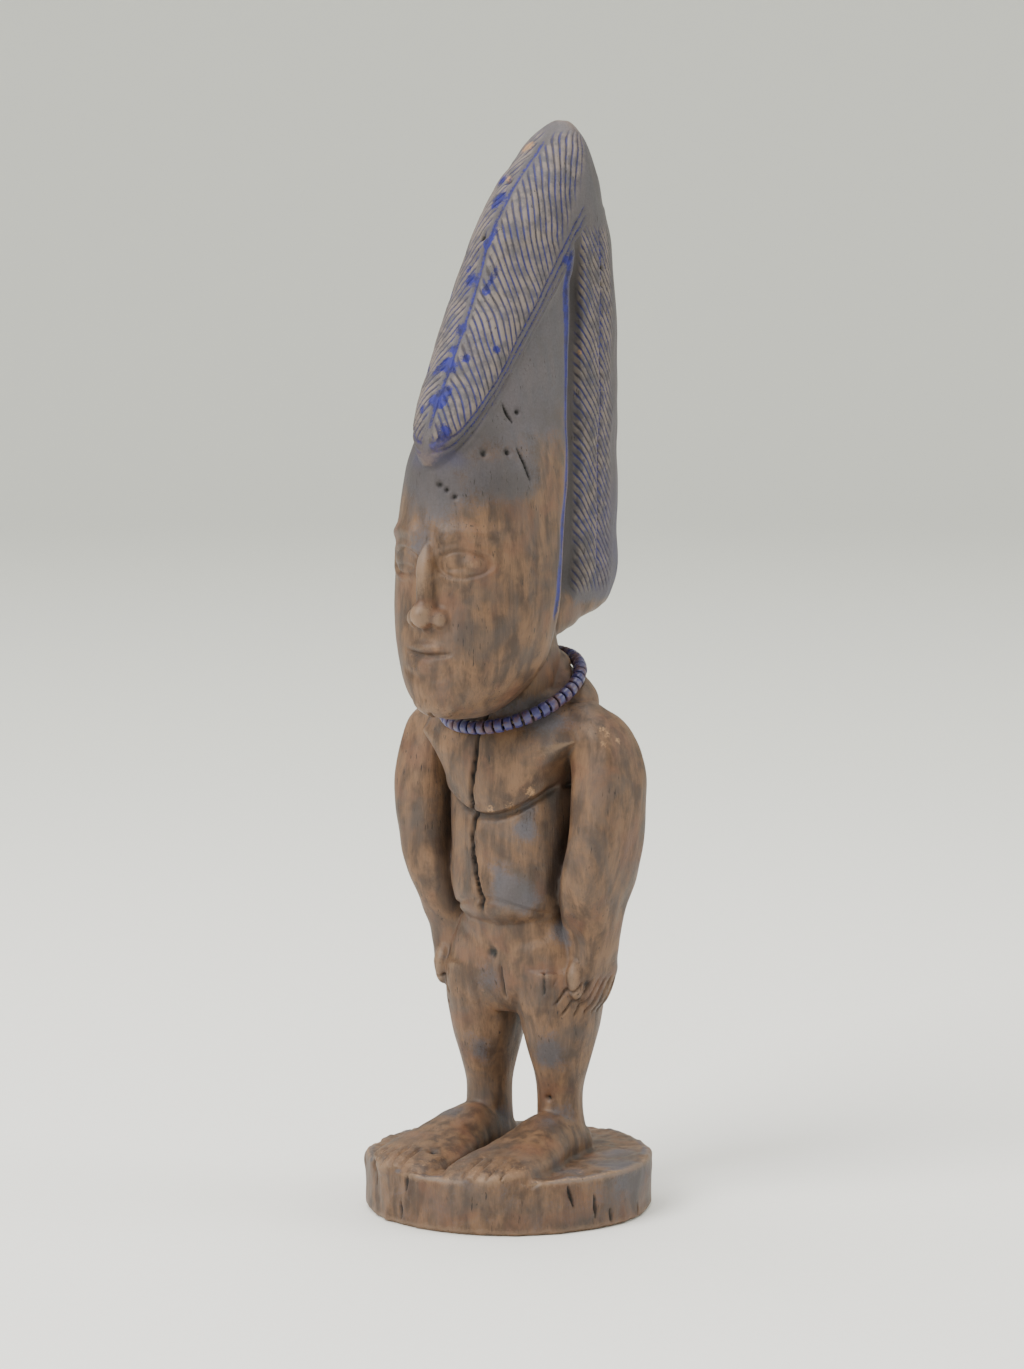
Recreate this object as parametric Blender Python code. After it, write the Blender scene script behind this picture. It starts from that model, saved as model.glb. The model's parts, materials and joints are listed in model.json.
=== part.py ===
"""A standing carved wooden figure on a round base, with a string of glass beads round its neck.

The figure and its base are one block of wood, so they are one node. Every glass bead is its own node, and
so is the thread. Metres, +Z up, the figure faces -Y, the base stands on z = 0 about the origin.
"""

import math

import bmesh
import bpy
from mathutils import Matrix, Vector

# ---- driving dimensions, in metres ----
FIGURE_HEIGHT = 0.276      # underside of the base to the tip of the crest
BASE_DIAMETER = 0.0736
BASE_THICKNESS = 0.0138
SHOULDER_WIDTH = 0.0700    # outside of one arm to the outside of the other
HEAD_WIDTH = 0.0410
NECKLACE_SETBACK = 0.0015  # the string's centre sits this far behind the figure's axis
FRONT_TILT = 26.5          # degrees: the front of the string hangs lower than the nape
SIDE_TILT = 4.5            # degrees: the figure's left side of the string rides higher
BEAD_COUNT = 46
BEAD_DIAMETER = 0.0036
BEAD_LENGTH = 0.0020
BEAD_BORE = 0.0016
THREAD_DIAMETER = 0.0010
KNOT_DIAMETER = 0.0024
CHEST_ARCH = 0.0090         # how far the chest's lower edge climbs to the armpits
REAR_LOBE_EDGE = 1.2        # how much squarer the rear lobe of the hair is in front than behind
ARM_EDGE = 0.6              # and the same for an arm
BEAD_GAP = 0.00043         # between neighbouring beads along the thread
CLEARANCE = 0.0004         # between the beads and the wood all the way round
STRING_LIFT = 0.00035      # from the level where the shoulders stop the string to its centre
GROUND_CUT = 0.0004        # wood taken off underneath, so that it stands flat
VOXEL = 0.0011             # grain of the merged wood before it is simplified
WOOD_DETAIL = 0.050        # share of the merged wood's faces that is kept

# ---- what follows from them ----
MM = 0.001
DRAWN_HEIGHT, DRAWN_BASE, DRAWN_THICKNESS = 276.0, 73.6, 13.8
DRAWN_SHOULDERS, DRAWN_HEAD = 70.0, 41.0
BASE_SCALE = BASE_DIAMETER / (DRAWN_BASE * MM)
BODY_SCALE = SHOULDER_WIDTH / (DRAWN_SHOULDERS * MM)
HEAD_SCALE = HEAD_WIDTH / (DRAWN_HEAD * MM)
RISE = (FIGURE_HEIGHT - BASE_THICKNESS) / ((DRAWN_HEIGHT - DRAWN_THICKNESS) * MM)
BEAD_PLACES = BEAD_COUNT + 1    # the knot takes one place
NECKLACE_RADIUS = BEAD_PLACES * (BEAD_LENGTH + BEAD_GAP) / (2 * math.pi)


def height(z):
    """A height from the tables, in metres, with the base and the figure scaled on their own."""
    if z <= DRAWN_THICKNESS:
        return z / DRAWN_THICKNESS * BASE_THICKNESS
    return BASE_THICKNESS + (z - DRAWN_THICKNESS) * MM * RISE


def spread(z):
    """How much wider than drawn the figure is at this height: feet follow the base, head its own width."""
    steps = ((14.0, BASE_SCALE), (50.0, BODY_SCALE), (124.0, BODY_SCALE), (150.0, HEAD_SCALE))
    if z <= steps[0][0]:
        return steps[0][1]
    for (z0, s0), (z1, s1) in zip(steps, steps[1:]):
        if z <= z1:
            return s0 + (s1 - s0) * (z - z0) / (z1 - z0)
    return steps[-1][1]


# Each row: height, centre x, centre y, half width, depth in front, depth behind, squareness. Millimetres.
HEAD = (
    (128.5, 0, -21, 5.5, 8, 10, 2.1),
    (131, 0, -20, 9.5, 13.5, 14, 2.1),
    (136, 0, -18, 14.0, 18.0, 17, 2.1),
    (144, 0, -14, 18.0, 22.5, 17, 2.1),
    (154, 0, -11, 20.3, 24.6, 13, 2.2),
    (166, 0, -9, 20.6, 26.2, 12, 2.2),
    (178, 0, -8, 20.0, 27.6, 15, 2.1),
    (190, 0, -6, 18.6, 28.8, 18, 2.0),
    (198, 0, -3, 17.2, 29.6, 17, 1.9),
    (206, 0, -1, 16.0, 28.6, 15.5, 1.8),
    (214, 0, 1, 15.2, 25.8, 14, 1.8),
    (222, 0, 3, 14.5, 23.0, 12.5, 1.9),
    (232, 0, 6, 13.2, 20.0, 9.5, 2.1),
    (245, 0, 10, 12.0, 16.0, 6, 2.3),
    (256, 0, 15, 10.5, 12.0, 6, 2.2),
)
FRONT_LOBE = (
    (192.0, 0, -31.5, 3.0, 4.4, 5, 2.0),
    (195.0, 0, -31, 5.4, 5.4, 7, 2.0),
    (200.0, 0, -28.5, 7.6, 6.8, 8, 2.0),
    (206.0, 0, -24.5, 9.0, 7.9, 9, 2.0),
    (213.0, 0, -17.5, 10.6, 9.9, 10, 2.0),
    (222.0, 0, -9.5, 12.2, 12.4, 12, 2.0),
    (232.0, 0, -0.5, 13.4, 15.3, 14, 2.0),
    (240.0, 0, 7.0, 13.4, 18.9, 16, 2.0),
    (248.5, 0, 13.8, 12.8, 21.6, 23, 2.0),
    (259.3, 0, 17.7, 11.6, 15.4, 16.4, 2.0),
    (265.7, 0, 19.5, 10.1, 10.2, 11.5, 2.0),
    (270.8, 0, 21.6, 7.7, 6.4, 7.2, 2.0),
    (274.2, 0, 23.4, 4.6, 3.5, 4.0, 2.0),
    (276.0, 0, 24.5, 1.6, 1.2, 1.4, 2.0),
)
REAR_LOBE = (
    (147.0, 0, 13, 4.0, 4, 4, 2.2),
    (149.0, 0, 17, 7.5, 6, 7, 2.2),
    (151.0, 0, 21, 9.0, 8, 11, 2.2),
    (153.0, 0, 22, 9.8, 10, 15.8, 2.3),
    (157.0, 0, 22, 11.0, 11, 19.2, 2.3),
    (161.0, 0, 22, 11.8, 11, 20.2, 2.3),
    (166.0, 0, 21.5, 12.1, 10, 20.8, 2.3),
    (175.0, 0, 21, 12.2, 9, 21.5, 2.2),
    (195.0, 0, 21, 12.4, 9, 21.9, 2.1),
    (217.0, 0, 21, 12.8, 9, 20.7, 2.1),
    (232.0, 0, 20, 13.0, 9, 20.6, 2.1),
    (244.0, 0, 18, 13.0, 12, 20.8, 2.1),
    (254.0, 0, 18, 12.2, 12, 18.8, 2.0),
)
NAPE = (
    (146.5, 0, 8, 9.0, 10, 8, 2.1),
    (150.0, 0, 12, 10.0, 12, 14, 2.1),
    (158.0, 0, 13, 11.0, 12, 14, 2.1),
    (175.0, 0, 12, 11.5, 12, 14, 2.1),
    (240.0, 0, 12, 11.0, 12, 14, 2.1),
)
NECK = (
    (116.0, 0, 3.5, 17.0, 12.0, 14.0, 2.1),
    (124.0, 0, 3.0, 16.0, 11.5, 14.6, 2.1),
    (131.0, 0, 2.0, 13.4, 11.8, 15.0, 2.1),
    (138.0, 0, 0.0, 12.3, 12.0, 15.6, 2.1),
    (146.0, 0, -1.5, 12.2, 13.0, 14.6, 2.0),
    (156.0, 0, -3.0, 12.6, 13.0, 14.0, 2.0),
)
CHEST = (
    (100.0, 0, 5.0, 18.0, 13.0, 14.5, 2.4),
    (103.5, 0, 5.0, 18.6, 15.6, 15.0, 2.5),
    (107.0, 0, 5.2, 19.6, 17.4, 15.4, 2.5),
    (112.0, 0, 5.5, 23.5, 17.6, 15.4, 2.5),
    (118.0, 0, 5.2, 27.0, 16.8, 14.6, 2.5),
    (123.5, 0, 4.8, 25.6, 15.4, 13.0, 2.4),
    (128.0, 0, 4.4, 22.0, 12.8, 13.0, 2.3),
    (131.0, 0, 4.0, 19.0, 10.6, 12.6, 2.3),
    (133.6, 0, 3.6, 14.6, 8.6, 11.0, 2.1),
)
BELLY = (
    (73.5, 0, 5.0, 12.0, 11.5, 11.0, 2.3),
    (76.5, 0, 5.0, 14.4, 15.0, 12.0, 2.3),
    (80.0, 0, 5.0, 16.0, 16.0, 13.0, 2.4),
    (86.0, 0, 5.0, 17.2, 15.8, 13.6, 2.4),
    (94.0, 0, 4.8, 17.5, 15.2, 14.0, 2.3),
    (101.0, 0, 4.8, 17.8, 14.4, 14.2, 2.3),
    (109.0, 0, 5.0, 18.2, 13.4, 14.2, 2.3),
)
HIPS = (
    (50.0, 0, 8.0, 15.5, 9.0, 10.0, 2.4),
    (54.0, 0, 8.0, 18.8, 11.5, 12.0, 2.4),
    (59.0, 0, 7.6, 20.6, 13.0, 13.2, 2.4),
    (65.0, 0, 7.2, 20.0, 13.4, 13.6, 2.4),
    (71.0, 0, 6.8, 17.2, 13.2, 12.6, 2.4),
    (76.0, 0, 6.0, 14.2, 12.6, 11.2, 2.3),
    (80.0, 0, 5.0, 12.0, 10.0, 10.0, 2.2),
)
LEG = (
    (14.0, 11.4, 7.4, 6.6, 7.2, 7.4, 2.2),
    (19.0, 11.2, 7.4, 6.1, 6.8, 7.0, 2.2),
    (25.0, 11.0, 7.2, 5.6, 6.2, 6.4, 2.1),
    (30.0, 11.0, 7.2, 5.6, 6.2, 6.4, 2.1),
    (36.0, 11.1, 7.2, 6.9, 7.6, 8.0, 2.1),
    (42.0, 11.1, 7.2, 8.4, 9.2, 9.8, 2.2),
    (48.0, 11.0, 7.4, 9.6, 10.6, 11.4, 2.2),
    (55.0, 10.6, 7.4, 10.4, 12.0, 12.6, 2.3),
    (62.0, 9.8, 7.2, 10.2, 12.6, 12.8, 2.3),
)
ARM = (
    (51.5, 18.8, 8.8, 2.4, 4.4, 4.6, 2.2),
    (54.0, 19.2, 8.6, 3.6, 6.6, 6.6, 2.4),
    (58.0, 19.5, 8.6, 4.4, 8.6, 8.0, 2.5),
    (62.5, 20.0, 8.4, 4.9, 8.6, 7.6, 2.5),
    (66.5, 21.0, 8.0, 5.4, 8.0, 6.8, 2.3),
    (71.0, 21.4, 7.9, 6.2, 8.4, 6.4, 2.2),
    (79.0, 22.3, 8.7, 7.1, 13.2, 6.8, 2.2),
    (86.0, 23.8, 9.0, 7.7, 15.4, 7.2, 2.2),
    (95.0, 26.0, 8.4, 7.7, 15.0, 7.6, 2.2),
    (105.0, 27.0, 7.2, 8.0, 13.4, 8.8, 2.2),
    (113.0, 27.0, 6.4, 7.9, 11.6, 9.6, 2.2),
    (119.5, 25.6, 5.8, 8.0, 9.8, 9.6, 2.2),
    (124.5, 23.0, 5.2, 8.0, 8.8, 8.6, 2.1),
    (128.0, 20.0, 4.8, 7.0, 6.8, 6.8, 2.0),
    (131.0, 16.5, 4.4, 4.6, 4.4, 4.4, 2.0),
)
# The foot runs forwards, so its rows are: y, centre x, middle height, half width, half height up, and down.
FOOT = (
    (14.5, 11.6, 15.0, 4.4, 3.6, 4.0, 2.2),
    (12.0, 11.6, 15.5, 6.4, 5.6, 6.0, 2.3),
    (6.0, 11.6, 16.0, 7.2, 8.2, 6.0, 2.2),
    (-2.0, 11.8, 16.0, 8.2, 8.6, 6.0, 2.1),
    (-10.0, 12.2, 15.4, 10.2, 6.4, 6.0, 2.1),
    (-20.0, 12.4, 14.8, 11.8, 4.2, 6.0, 2.2),
    (-28.0, 11.8, 14.2, 10.8, 3.0, 6.0, 2.3),
    (-32.5, 10.6, 13.9, 7.8, 2.0, 5.0, 2.3),
    (-34.5, 9.6, 13.6, 5.0, 1.0, 3.0, 2.2),
)
# Lumps: centre x, y, z, half sizes x, y, z.
NECK_MUSCLES = (
    (9.0, 8.5, 129.5, 11.5, 9.0, 9.0),
    (-9.0, 8.5, 129.5, 11.5, 9.0, 9.0),
)
# The face is plain and symmetrical, in equal thirds.
FACE = (
    (0.0, -35.4, 160.5, 2.7, 4.6, 11.0),    # bridge and ridge of the nose
    (0.0, -37.0, 155.0, 3.5, 4.4, 3.8),     # tip
    (3.5, -35.2, 154.0, 2.6, 3.2, 2.6),     # wings
    (-3.5, -35.2, 154.0, 2.6, 3.2, 2.6),
    (8.8, -30.4, 168.0, 5.6, 4.6, 4.0),     # eyes
    (-8.8, -30.4, 168.0, 5.6, 4.6, 4.0),
    (0.0, -32.6, 146.8, 6.2, 4.4, 2.4),     # upper and lower lip
    (0.0, -32.2, 143.0, 5.4, 4.2, 2.4),
    (0.0, -31.0, 134.0, 7.0, 4.6, 4.6),     # chin
)


def clear_scene():
    for obj in list(bpy.data.objects):
        bpy.data.objects.remove(obj, do_unlink=True)


def blend(rows, share):
    """A row between the table's rows: a smooth curve through them, share 0 to 1 along the table."""
    along = share * (len(rows) - 1)
    i = min(int(along), len(rows) - 2)
    t = along - i
    a, b, c, d = (rows[max(0, min(len(rows) - 1, k))] for k in (i - 1, i, i + 1, i + 2))
    weights = ((-t + 2 * t * t - t ** 3) / 2, (2 - 5 * t * t + 3 * t ** 3) / 2,
               (t + 4 * t * t - 3 * t ** 3) / 2, (t ** 3 - t * t) / 2)
    return tuple(sum(w * row[k] for w, row in zip(weights, (a, b, c, d))) for k in range(7))


def rounded(angle, squareness):
    """A point on the unit superellipse."""
    c, s = math.cos(angle), math.sin(angle)
    power = 2 / squareness
    return math.copysign(abs(c) ** power, c), math.copysign(abs(s) ** power, s)


def stack(bm, rows, place, rings, points=28):
    """Rings placed along a table and bridged into one closed form."""
    before = None
    made = []
    for ring in range(rings):
        row = blend(rows, ring / (rings - 1))
        verts = bmesh.ops.create_circle(bm, segments=points, radius=1.0)["verts"]
        for k, vert in enumerate(verts):
            vert.co = place(row, 2 * math.pi * k / points)
        edges = list({e for v in verts for e in v.link_edges})
        if before is None:
            made += bmesh.ops.contextual_create(bm, geom=edges)["faces"]
        else:
            made += bmesh.ops.bridge_loops(bm, edges=before + edges)["faces"]
        before = edges
    made += bmesh.ops.contextual_create(bm, geom=before)["faces"]
    bmesh.ops.recalc_face_normals(bm, faces=made)


def upright(side=1, front_edge=0.0):
    """Places a ring level, for the forms that are stacked upwards. Side -1 is the figure's right.

    A front edge above 0 makes the front of the ring that much squarer than its back.
    """
    def place(row, angle):
        z, x, y, half, front, behind, square = row
        c, s = rounded(angle, square + (front_edge if math.sin(angle) < 0 else 0.0))
        wide = spread(z)
        return Vector((side * (x + half * c) * wide * MM,
                       (y + (front if s < 0 else behind) * s) * wide * MM,
                       height(z)))
    return place


def arched(row, angle):
    """Places a ring of the chest: its lower rings climb towards the armpits."""
    point = upright()(row, angle)
    low = max(0.0, min(1.0, (122.0 - row[0]) / 20.0))
    point.z += CHEST_ARCH * RISE * low * (point.x / (16.0 * MM * BODY_SCALE)) ** 2
    return point


def lying(side=1):
    """Places a ring on edge, for the feet."""
    def place(row, angle):
        y, x, z, half, up, down, square = row
        c, s = rounded(angle, square)
        return Vector((side * (x + half * c) * BASE_SCALE * MM, y * BASE_SCALE * MM,
                       height(z + (up if s > 0 else down) * s)))
    return place


def lump(bm, x, y, z, rx, ry, rz):
    wide = spread(z) * MM
    size = Matrix.Diagonal((rx * wide, ry * wide, rz * MM * RISE, 1))
    bmesh.ops.create_icosphere(bm, subdivisions=3, radius=1.0,
                               matrix=Matrix.Translation((x * wide, y * wide, height(z))) @ size)


def base(bm):
    """The round base: a disc with rounded rims, reaching a little below the ground to be cut flat."""
    deep = BASE_THICKNESS + GROUND_CUT
    made = bmesh.ops.create_cone(bm, cap_ends=True, segments=72, radius1=BASE_DIAMETER / 2,
                                 radius2=BASE_DIAMETER / 2, depth=deep,
                                 matrix=Matrix.Translation((0, 0, BASE_THICKNESS - deep / 2)))
    rims = {e for v in made["verts"] for e in v.link_edges
            if abs(e.verts[0].co.z - e.verts[1].co.z) < 1e-6}
    bmesh.ops.bevel(bm, geom=list(rims), offset=0.0016, segments=3, profile=0.5,
                    affect="EDGES", material=-1)


def new_object(name, bm, colour, roughness, smooth=True):
    mesh = bpy.data.meshes.new(name)
    bm.to_mesh(mesh)
    bm.free()
    mesh.shade_smooth() if smooth else mesh.shade_flat()
    material = bpy.data.materials.new(name + "_finish")
    material.use_nodes = True
    shader = material.node_tree.nodes["Principled BSDF"]
    shader.inputs["Base Color"].default_value = (*colour, 1)
    shader.inputs["Roughness"].default_value = roughness
    mesh.materials.append(material)
    obj = bpy.data.objects.new(name, mesh)
    bpy.context.scene.collection.objects.link(obj)
    return obj


def half_width(rows, z):
    """Half the width of one of the stacked forms at a drawn height, or none where it has ended."""
    share = next((((z - a[0]) / (b[0] - a[0]) + i) / (len(rows) - 1)
                  for i, (a, b) in enumerate(zip(rows, rows[1:])) if a[0] <= z <= b[0]), None)
    return 0.0 if share is None else blend(rows, share)[3] * spread(z) * MM


def string_level():
    """Where the string comes to rest: going down the neck, the wood there fills the loop."""
    room = NECKLACE_RADIUS - BEAD_DIAMETER / 2 - CLEARANCE
    z = 150.0
    while z > 112.0 and max(half_width(NECK, z), half_width(CHEST, z)) < room:
        z -= 0.05
    return height(z) + STRING_LIFT


def string_frame():
    """The string's own frame: its circle lies in local XY, and local Z is the axis it turns on."""
    tilt = Matrix.Rotation(math.radians(-SIDE_TILT), 4, "Y") @ \
        Matrix.Rotation(math.radians(FRONT_TILT), 4, "X")
    return Matrix.Translation((0, NECKLACE_SETBACK, string_level())) @ tilt


def round_bar(bm, ring_radius, bar_radius, rings, points):
    """A closed ring of round bar about local Z."""
    turn = Matrix.Translation((ring_radius, 0, 0)) @ Matrix.Rotation(math.pi / 2, 4, "X")
    made = bmesh.ops.create_circle(bm, segments=points, radius=bar_radius, matrix=turn)
    edges = list({e for v in made["verts"] for e in v.link_edges})
    bmesh.ops.spin(bm, geom=made["verts"] + edges, cent=(0, 0, 0), axis=(0, 0, 1),
                   angle=2 * math.pi, steps=rings, use_merge=True)
    bmesh.ops.recalc_face_normals(bm, faces=list(bm.faces))


def carve_figure():
    bm = bmesh.new()
    base(bm)
    for rows, rings in ((HEAD, 40), (FRONT_LOBE, 44), (NAPE, 20), (NECK, 16), (BELLY, 18), (HIPS, 16)):
        stack(bm, rows, upright(), rings)
    stack(bm, REAR_LOBE, upright(front_edge=REAR_LOBE_EDGE), 36)
    stack(bm, CHEST, arched, 24)
    for side in (1, -1):
        stack(bm, LEG, upright(side), 24)
        stack(bm, ARM, upright(side, ARM_EDGE), 40)
        stack(bm, FOOT, lying(side), 24)
    for row in NECK_MUSCLES + FACE:
        lump(bm, *row)
    figure = new_object("carved_figure", bm, (0.20, 0.125, 0.080), 0.75)
    merge = figure.modifiers.new("merge_forms", "REMESH")
    merge.mode = "VOXEL"
    merge.voxel_size = VOXEL
    merge.use_smooth_shade = True
    ease = figure.modifiers.new("ease_joins", "SMOOTH")
    ease.factor = 0.5
    ease.iterations = 3
    simplify = figure.modifiers.new("simplify", "DECIMATE")
    simplify.ratio = WOOD_DETAIL
    simplify.use_collapse_triangulate = True

    # The base is cut flat at the ground.
    below = bmesh.new()
    bmesh.ops.create_cube(below, size=BASE_DIAMETER * 2,
                          matrix=Matrix.Translation((0, 0, -BASE_DIAMETER)))
    ground = new_object("ground_cutter", below, (1, 0, 0), 1, smooth=False)
    ground.hide_render = True
    ground.display_type = "WIRE"
    flat = figure.modifiers.new("flat_underside", "BOOLEAN")
    flat.operation = "DIFFERENCE"
    flat.solver = "EXACT"
    flat.object = ground

    # The beads have worn their track clear of the wood.
    cut = bmesh.new()
    round_bar(cut, NECKLACE_RADIUS, BEAD_DIAMETER / 2 + CLEARANCE, 48, 12)
    track = new_object("bead_track_cutter", cut, (1, 0, 0), 1)
    track.matrix_world = string_frame()
    track.hide_render = True
    track.display_type = "WIRE"
    groove = figure.modifiers.new("bead_track", "BOOLEAN")
    groove.operation = "DIFFERENCE"
    groove.solver = "EXACT"
    groove.object = track
    return figure


def bead_profile(bm):
    """One bead about local X: a short barrel with a bore, both ends eased."""
    half, bore, full = BEAD_LENGTH / 2, BEAD_BORE / 2, BEAD_DIAMETER / 2
    outline = ((-half, bore), (half, bore), (half, bore + 0.45 * (full - bore)), (0.5 * half, full),
               (-0.5 * half, full), (-half, bore + 0.45 * (full - bore)))
    verts = bmesh.ops.create_circle(bm, segments=len(outline), radius=full)["verts"]
    for vert, (x, radius) in zip(verts, outline):
        vert.co = Vector((x, 0, radius))
    edges = list({e for v in verts for e in v.link_edges})
    bmesh.ops.spin(bm, geom=verts + edges, cent=(0, 0, 0), axis=(1, 0, 0), angle=2 * math.pi,
                   steps=10, use_merge=True)
    bmesh.ops.recalc_face_normals(bm, faces=list(bm.faces))


def string_beads():
    frame = string_frame()
    thread = bmesh.new()
    round_bar(thread, NECKLACE_RADIUS, THREAD_DIAMETER / 2, 60, 6)
    string = new_object("necklace_thread", thread, (0.30, 0.26, 0.20), 0.9)
    string.matrix_world = frame
    knot = bmesh.new()
    bmesh.ops.create_icosphere(knot, subdivisions=2, radius=KNOT_DIAMETER / 2,
                               matrix=Matrix.Translation((0, NECKLACE_RADIUS, 0)))
    lump_of_knot = new_object("knot_form", knot, (0.30, 0.26, 0.20), 0.9)
    lump_of_knot.matrix_world = frame
    lump_of_knot.hide_render = True
    lump_of_knot.display_type = "WIRE"
    tie = string.modifiers.new("knot", "BOOLEAN")
    tie.operation = "UNION"
    tie.solver = "EXACT"
    tie.object = lump_of_knot

    # The knot takes the place at the nape, and the beads fill the others.
    for number in range(1, BEAD_PLACES):
        bm = bmesh.new()
        bead_profile(bm)
        bead = new_object(f"bead_{number:02d}", bm, (0.10, 0.11, 0.36), 0.25)
        angle = 2 * math.pi * number / BEAD_PLACES
        bead.matrix_world = frame @ Matrix.Rotation(angle, 4, "Z") @ \
            Matrix.Translation((0, NECKLACE_RADIUS, 0))


clear_scene()
carve_figure()
string_beads()
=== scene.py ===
# %% [markdown]
# # A carved wooden figure with a string of glass beads
# The figure and its round base are one block of old, dark wood, so most of this lesson is one piece: simple
# rounded forms are stacked and bridged, merged into one skin, and then carved point by point, as a carver
# first saws and rounds a block and then cuts the lines. The beads and their thread are separate pieces that
# turn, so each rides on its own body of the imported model.

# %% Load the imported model
import json
import math

import bmesh
import bpy
import numpy as np
from mathutils import Matrix, Vector


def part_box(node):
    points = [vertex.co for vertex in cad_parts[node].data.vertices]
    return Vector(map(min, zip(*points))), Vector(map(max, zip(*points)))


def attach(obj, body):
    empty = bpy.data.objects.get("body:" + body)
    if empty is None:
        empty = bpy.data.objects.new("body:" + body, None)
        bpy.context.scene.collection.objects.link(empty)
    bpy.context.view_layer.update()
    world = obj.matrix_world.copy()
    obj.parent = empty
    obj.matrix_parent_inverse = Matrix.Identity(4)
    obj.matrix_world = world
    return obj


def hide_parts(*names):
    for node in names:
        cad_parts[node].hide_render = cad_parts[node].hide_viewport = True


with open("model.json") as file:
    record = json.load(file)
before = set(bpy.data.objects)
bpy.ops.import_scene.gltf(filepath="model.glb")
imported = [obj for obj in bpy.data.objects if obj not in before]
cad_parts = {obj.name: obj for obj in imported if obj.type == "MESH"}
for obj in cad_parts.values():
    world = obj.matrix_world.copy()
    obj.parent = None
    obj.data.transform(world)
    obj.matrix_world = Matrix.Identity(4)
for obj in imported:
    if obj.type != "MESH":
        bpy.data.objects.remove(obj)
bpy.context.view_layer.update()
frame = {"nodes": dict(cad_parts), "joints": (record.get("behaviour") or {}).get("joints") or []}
WOOD_LOW, WOOD_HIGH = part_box("carved_figure")
MM = 0.001
print("block of wood, mm:", [round(side / MM, 1) for side in WOOD_HIGH - WOOD_LOW])

# %% [markdown]
# ## Camera, floor and light
# A long lens from a little above looks down at the figure, which faces to the left of the picture. It is
# placed by its turn about the figure, its distance and its height, so each can be changed on its own.

# %% Camera
CAMERA_TURN = math.radians(34.14)
CAMERA_DISTANCE = 1.2009
CAMERA_HEIGHT = 0.2863
AIM_HEIGHT = 0.1342
AIM_SIDEWAYS = 0.00085
LENS = 125.5


def place_camera():
    across = Vector((math.cos(CAMERA_TURN), math.sin(CAMERA_TURN), 0))
    back = Vector((math.sin(CAMERA_TURN), -math.cos(CAMERA_TURN), 0))
    aim = across * AIM_SIDEWAYS + Vector((0, 0, AIM_HEIGHT))
    camera = bpy.data.objects.new("camera", bpy.data.cameras.new("camera"))
    camera.data.lens = LENS
    camera.data.sensor_width = 36
    camera.location = across * AIM_SIDEWAYS + back * CAMERA_DISTANCE + Vector((0, 0, CAMERA_HEIGHT))
    camera.rotation_euler = (aim - camera.location).to_track_quat("-Z", "Y").to_euler()
    bpy.context.scene.collection.objects.link(camera)
    bpy.context.scene.camera = camera
    return camera


print("camera at", place_camera().location[:])

# %% [markdown]
# Materials in this file are short node trees. A few helpers keep them readable: `node` adds a node and fills
# its sockets, `calc` and its short forms do arithmetic, and `ramp` turns a value into a soft 0 to 1 mask.

# %% Node helpers
def new_material(name):
    material = bpy.data.materials.new(name)
    material.use_nodes = True
    return material, material.node_tree, material.node_tree.nodes["Principled BSDF"]


def node(tree, kind, inputs=None, **properties):
    """Adds a node. inputs maps a socket's name or number to a value or to another node's output."""
    made = tree.nodes.new("ShaderNode" + kind)
    for name, value in properties.items():
        setattr(made, name, value)
    for socket, value in (inputs or {}).items():
        if isinstance(value, bpy.types.NodeSocket):
            tree.links.new(value, made.inputs[socket])
        else:
            made.inputs[socket].default_value = value
    return made


def calc(tree, operation, a, b=0.0, clamp=False):
    return node(tree, "Math", {0: a, 1: b}, operation=operation, use_clamp=clamp).outputs[0]


def times(tree, a, b):
    return calc(tree, "MULTIPLY", a, b)


def plus(tree, a, b):
    return calc(tree, "ADD", a, b)


def about(tree, value, middle, share):
    """The value's swing about its middle, times a share."""
    return times(tree, calc(tree, "SUBTRACT", value, middle), share)


def ramp(tree, value, low, high, start=0.0, end=1.0):
    """A smooth step from start to end while the value goes from low to high."""
    return node(tree, "MapRange", {"Value": value, "From Min": low, "From Max": high, "To Min": start,
                                   "To Max": end}, interpolation_type="SMOOTHSTEP").outputs[0]


def mix(tree, share, a, b):
    """A colour between a and b."""
    return node(tree, "Mix", {0: share, 6: a, 7: b}, data_type="RGBA").outputs[2]


def millimetres(tree, stretch=(1, 1, 1)):
    """Object coordinates in millimetres, squeezed or stretched along each axis."""
    place = node(tree, "TexCoord").outputs["Object"]
    return node(tree, "Mapping", {"Vector": place, "Scale": [s / MM for s in stretch]}).outputs[0]


def noise(tree, where, size, detail=2.0, roughness=0.5, warp=0.0):
    """Soft noise from 0 to 1 whose patches are about this size, in the units of where."""
    return node(tree, "TexNoise", {"Vector": where, "Scale": 1 / size, "Detail": detail,
                                   "Roughness": roughness, "Distortion": warp}).outputs["Fac"]


def rgb(red, green, blue):
    """A colour given as it looks on a screen, 0 to 255, turned into the linear values that light needs."""
    return [*(c / 12.92 if c <= 0.04045 else ((c + 0.055) / 1.055) ** 2.4
              for c in (red / 255, green / 255, blue / 255)), 1.0]


# %% [markdown]
# The floor is a wide bowl: flat where the figure stands, then curving up all round, so that no horizon shows
# from any side. Its colour gets a little darker away from the figure: a painted fall-off of light.

# %% Floor
FLOOR_RADIUS, BOWL_CURVE, BOWL_HEIGHT = 1.9, 0.9, 3.4
FLOOR_DROP = 0.0002


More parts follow.
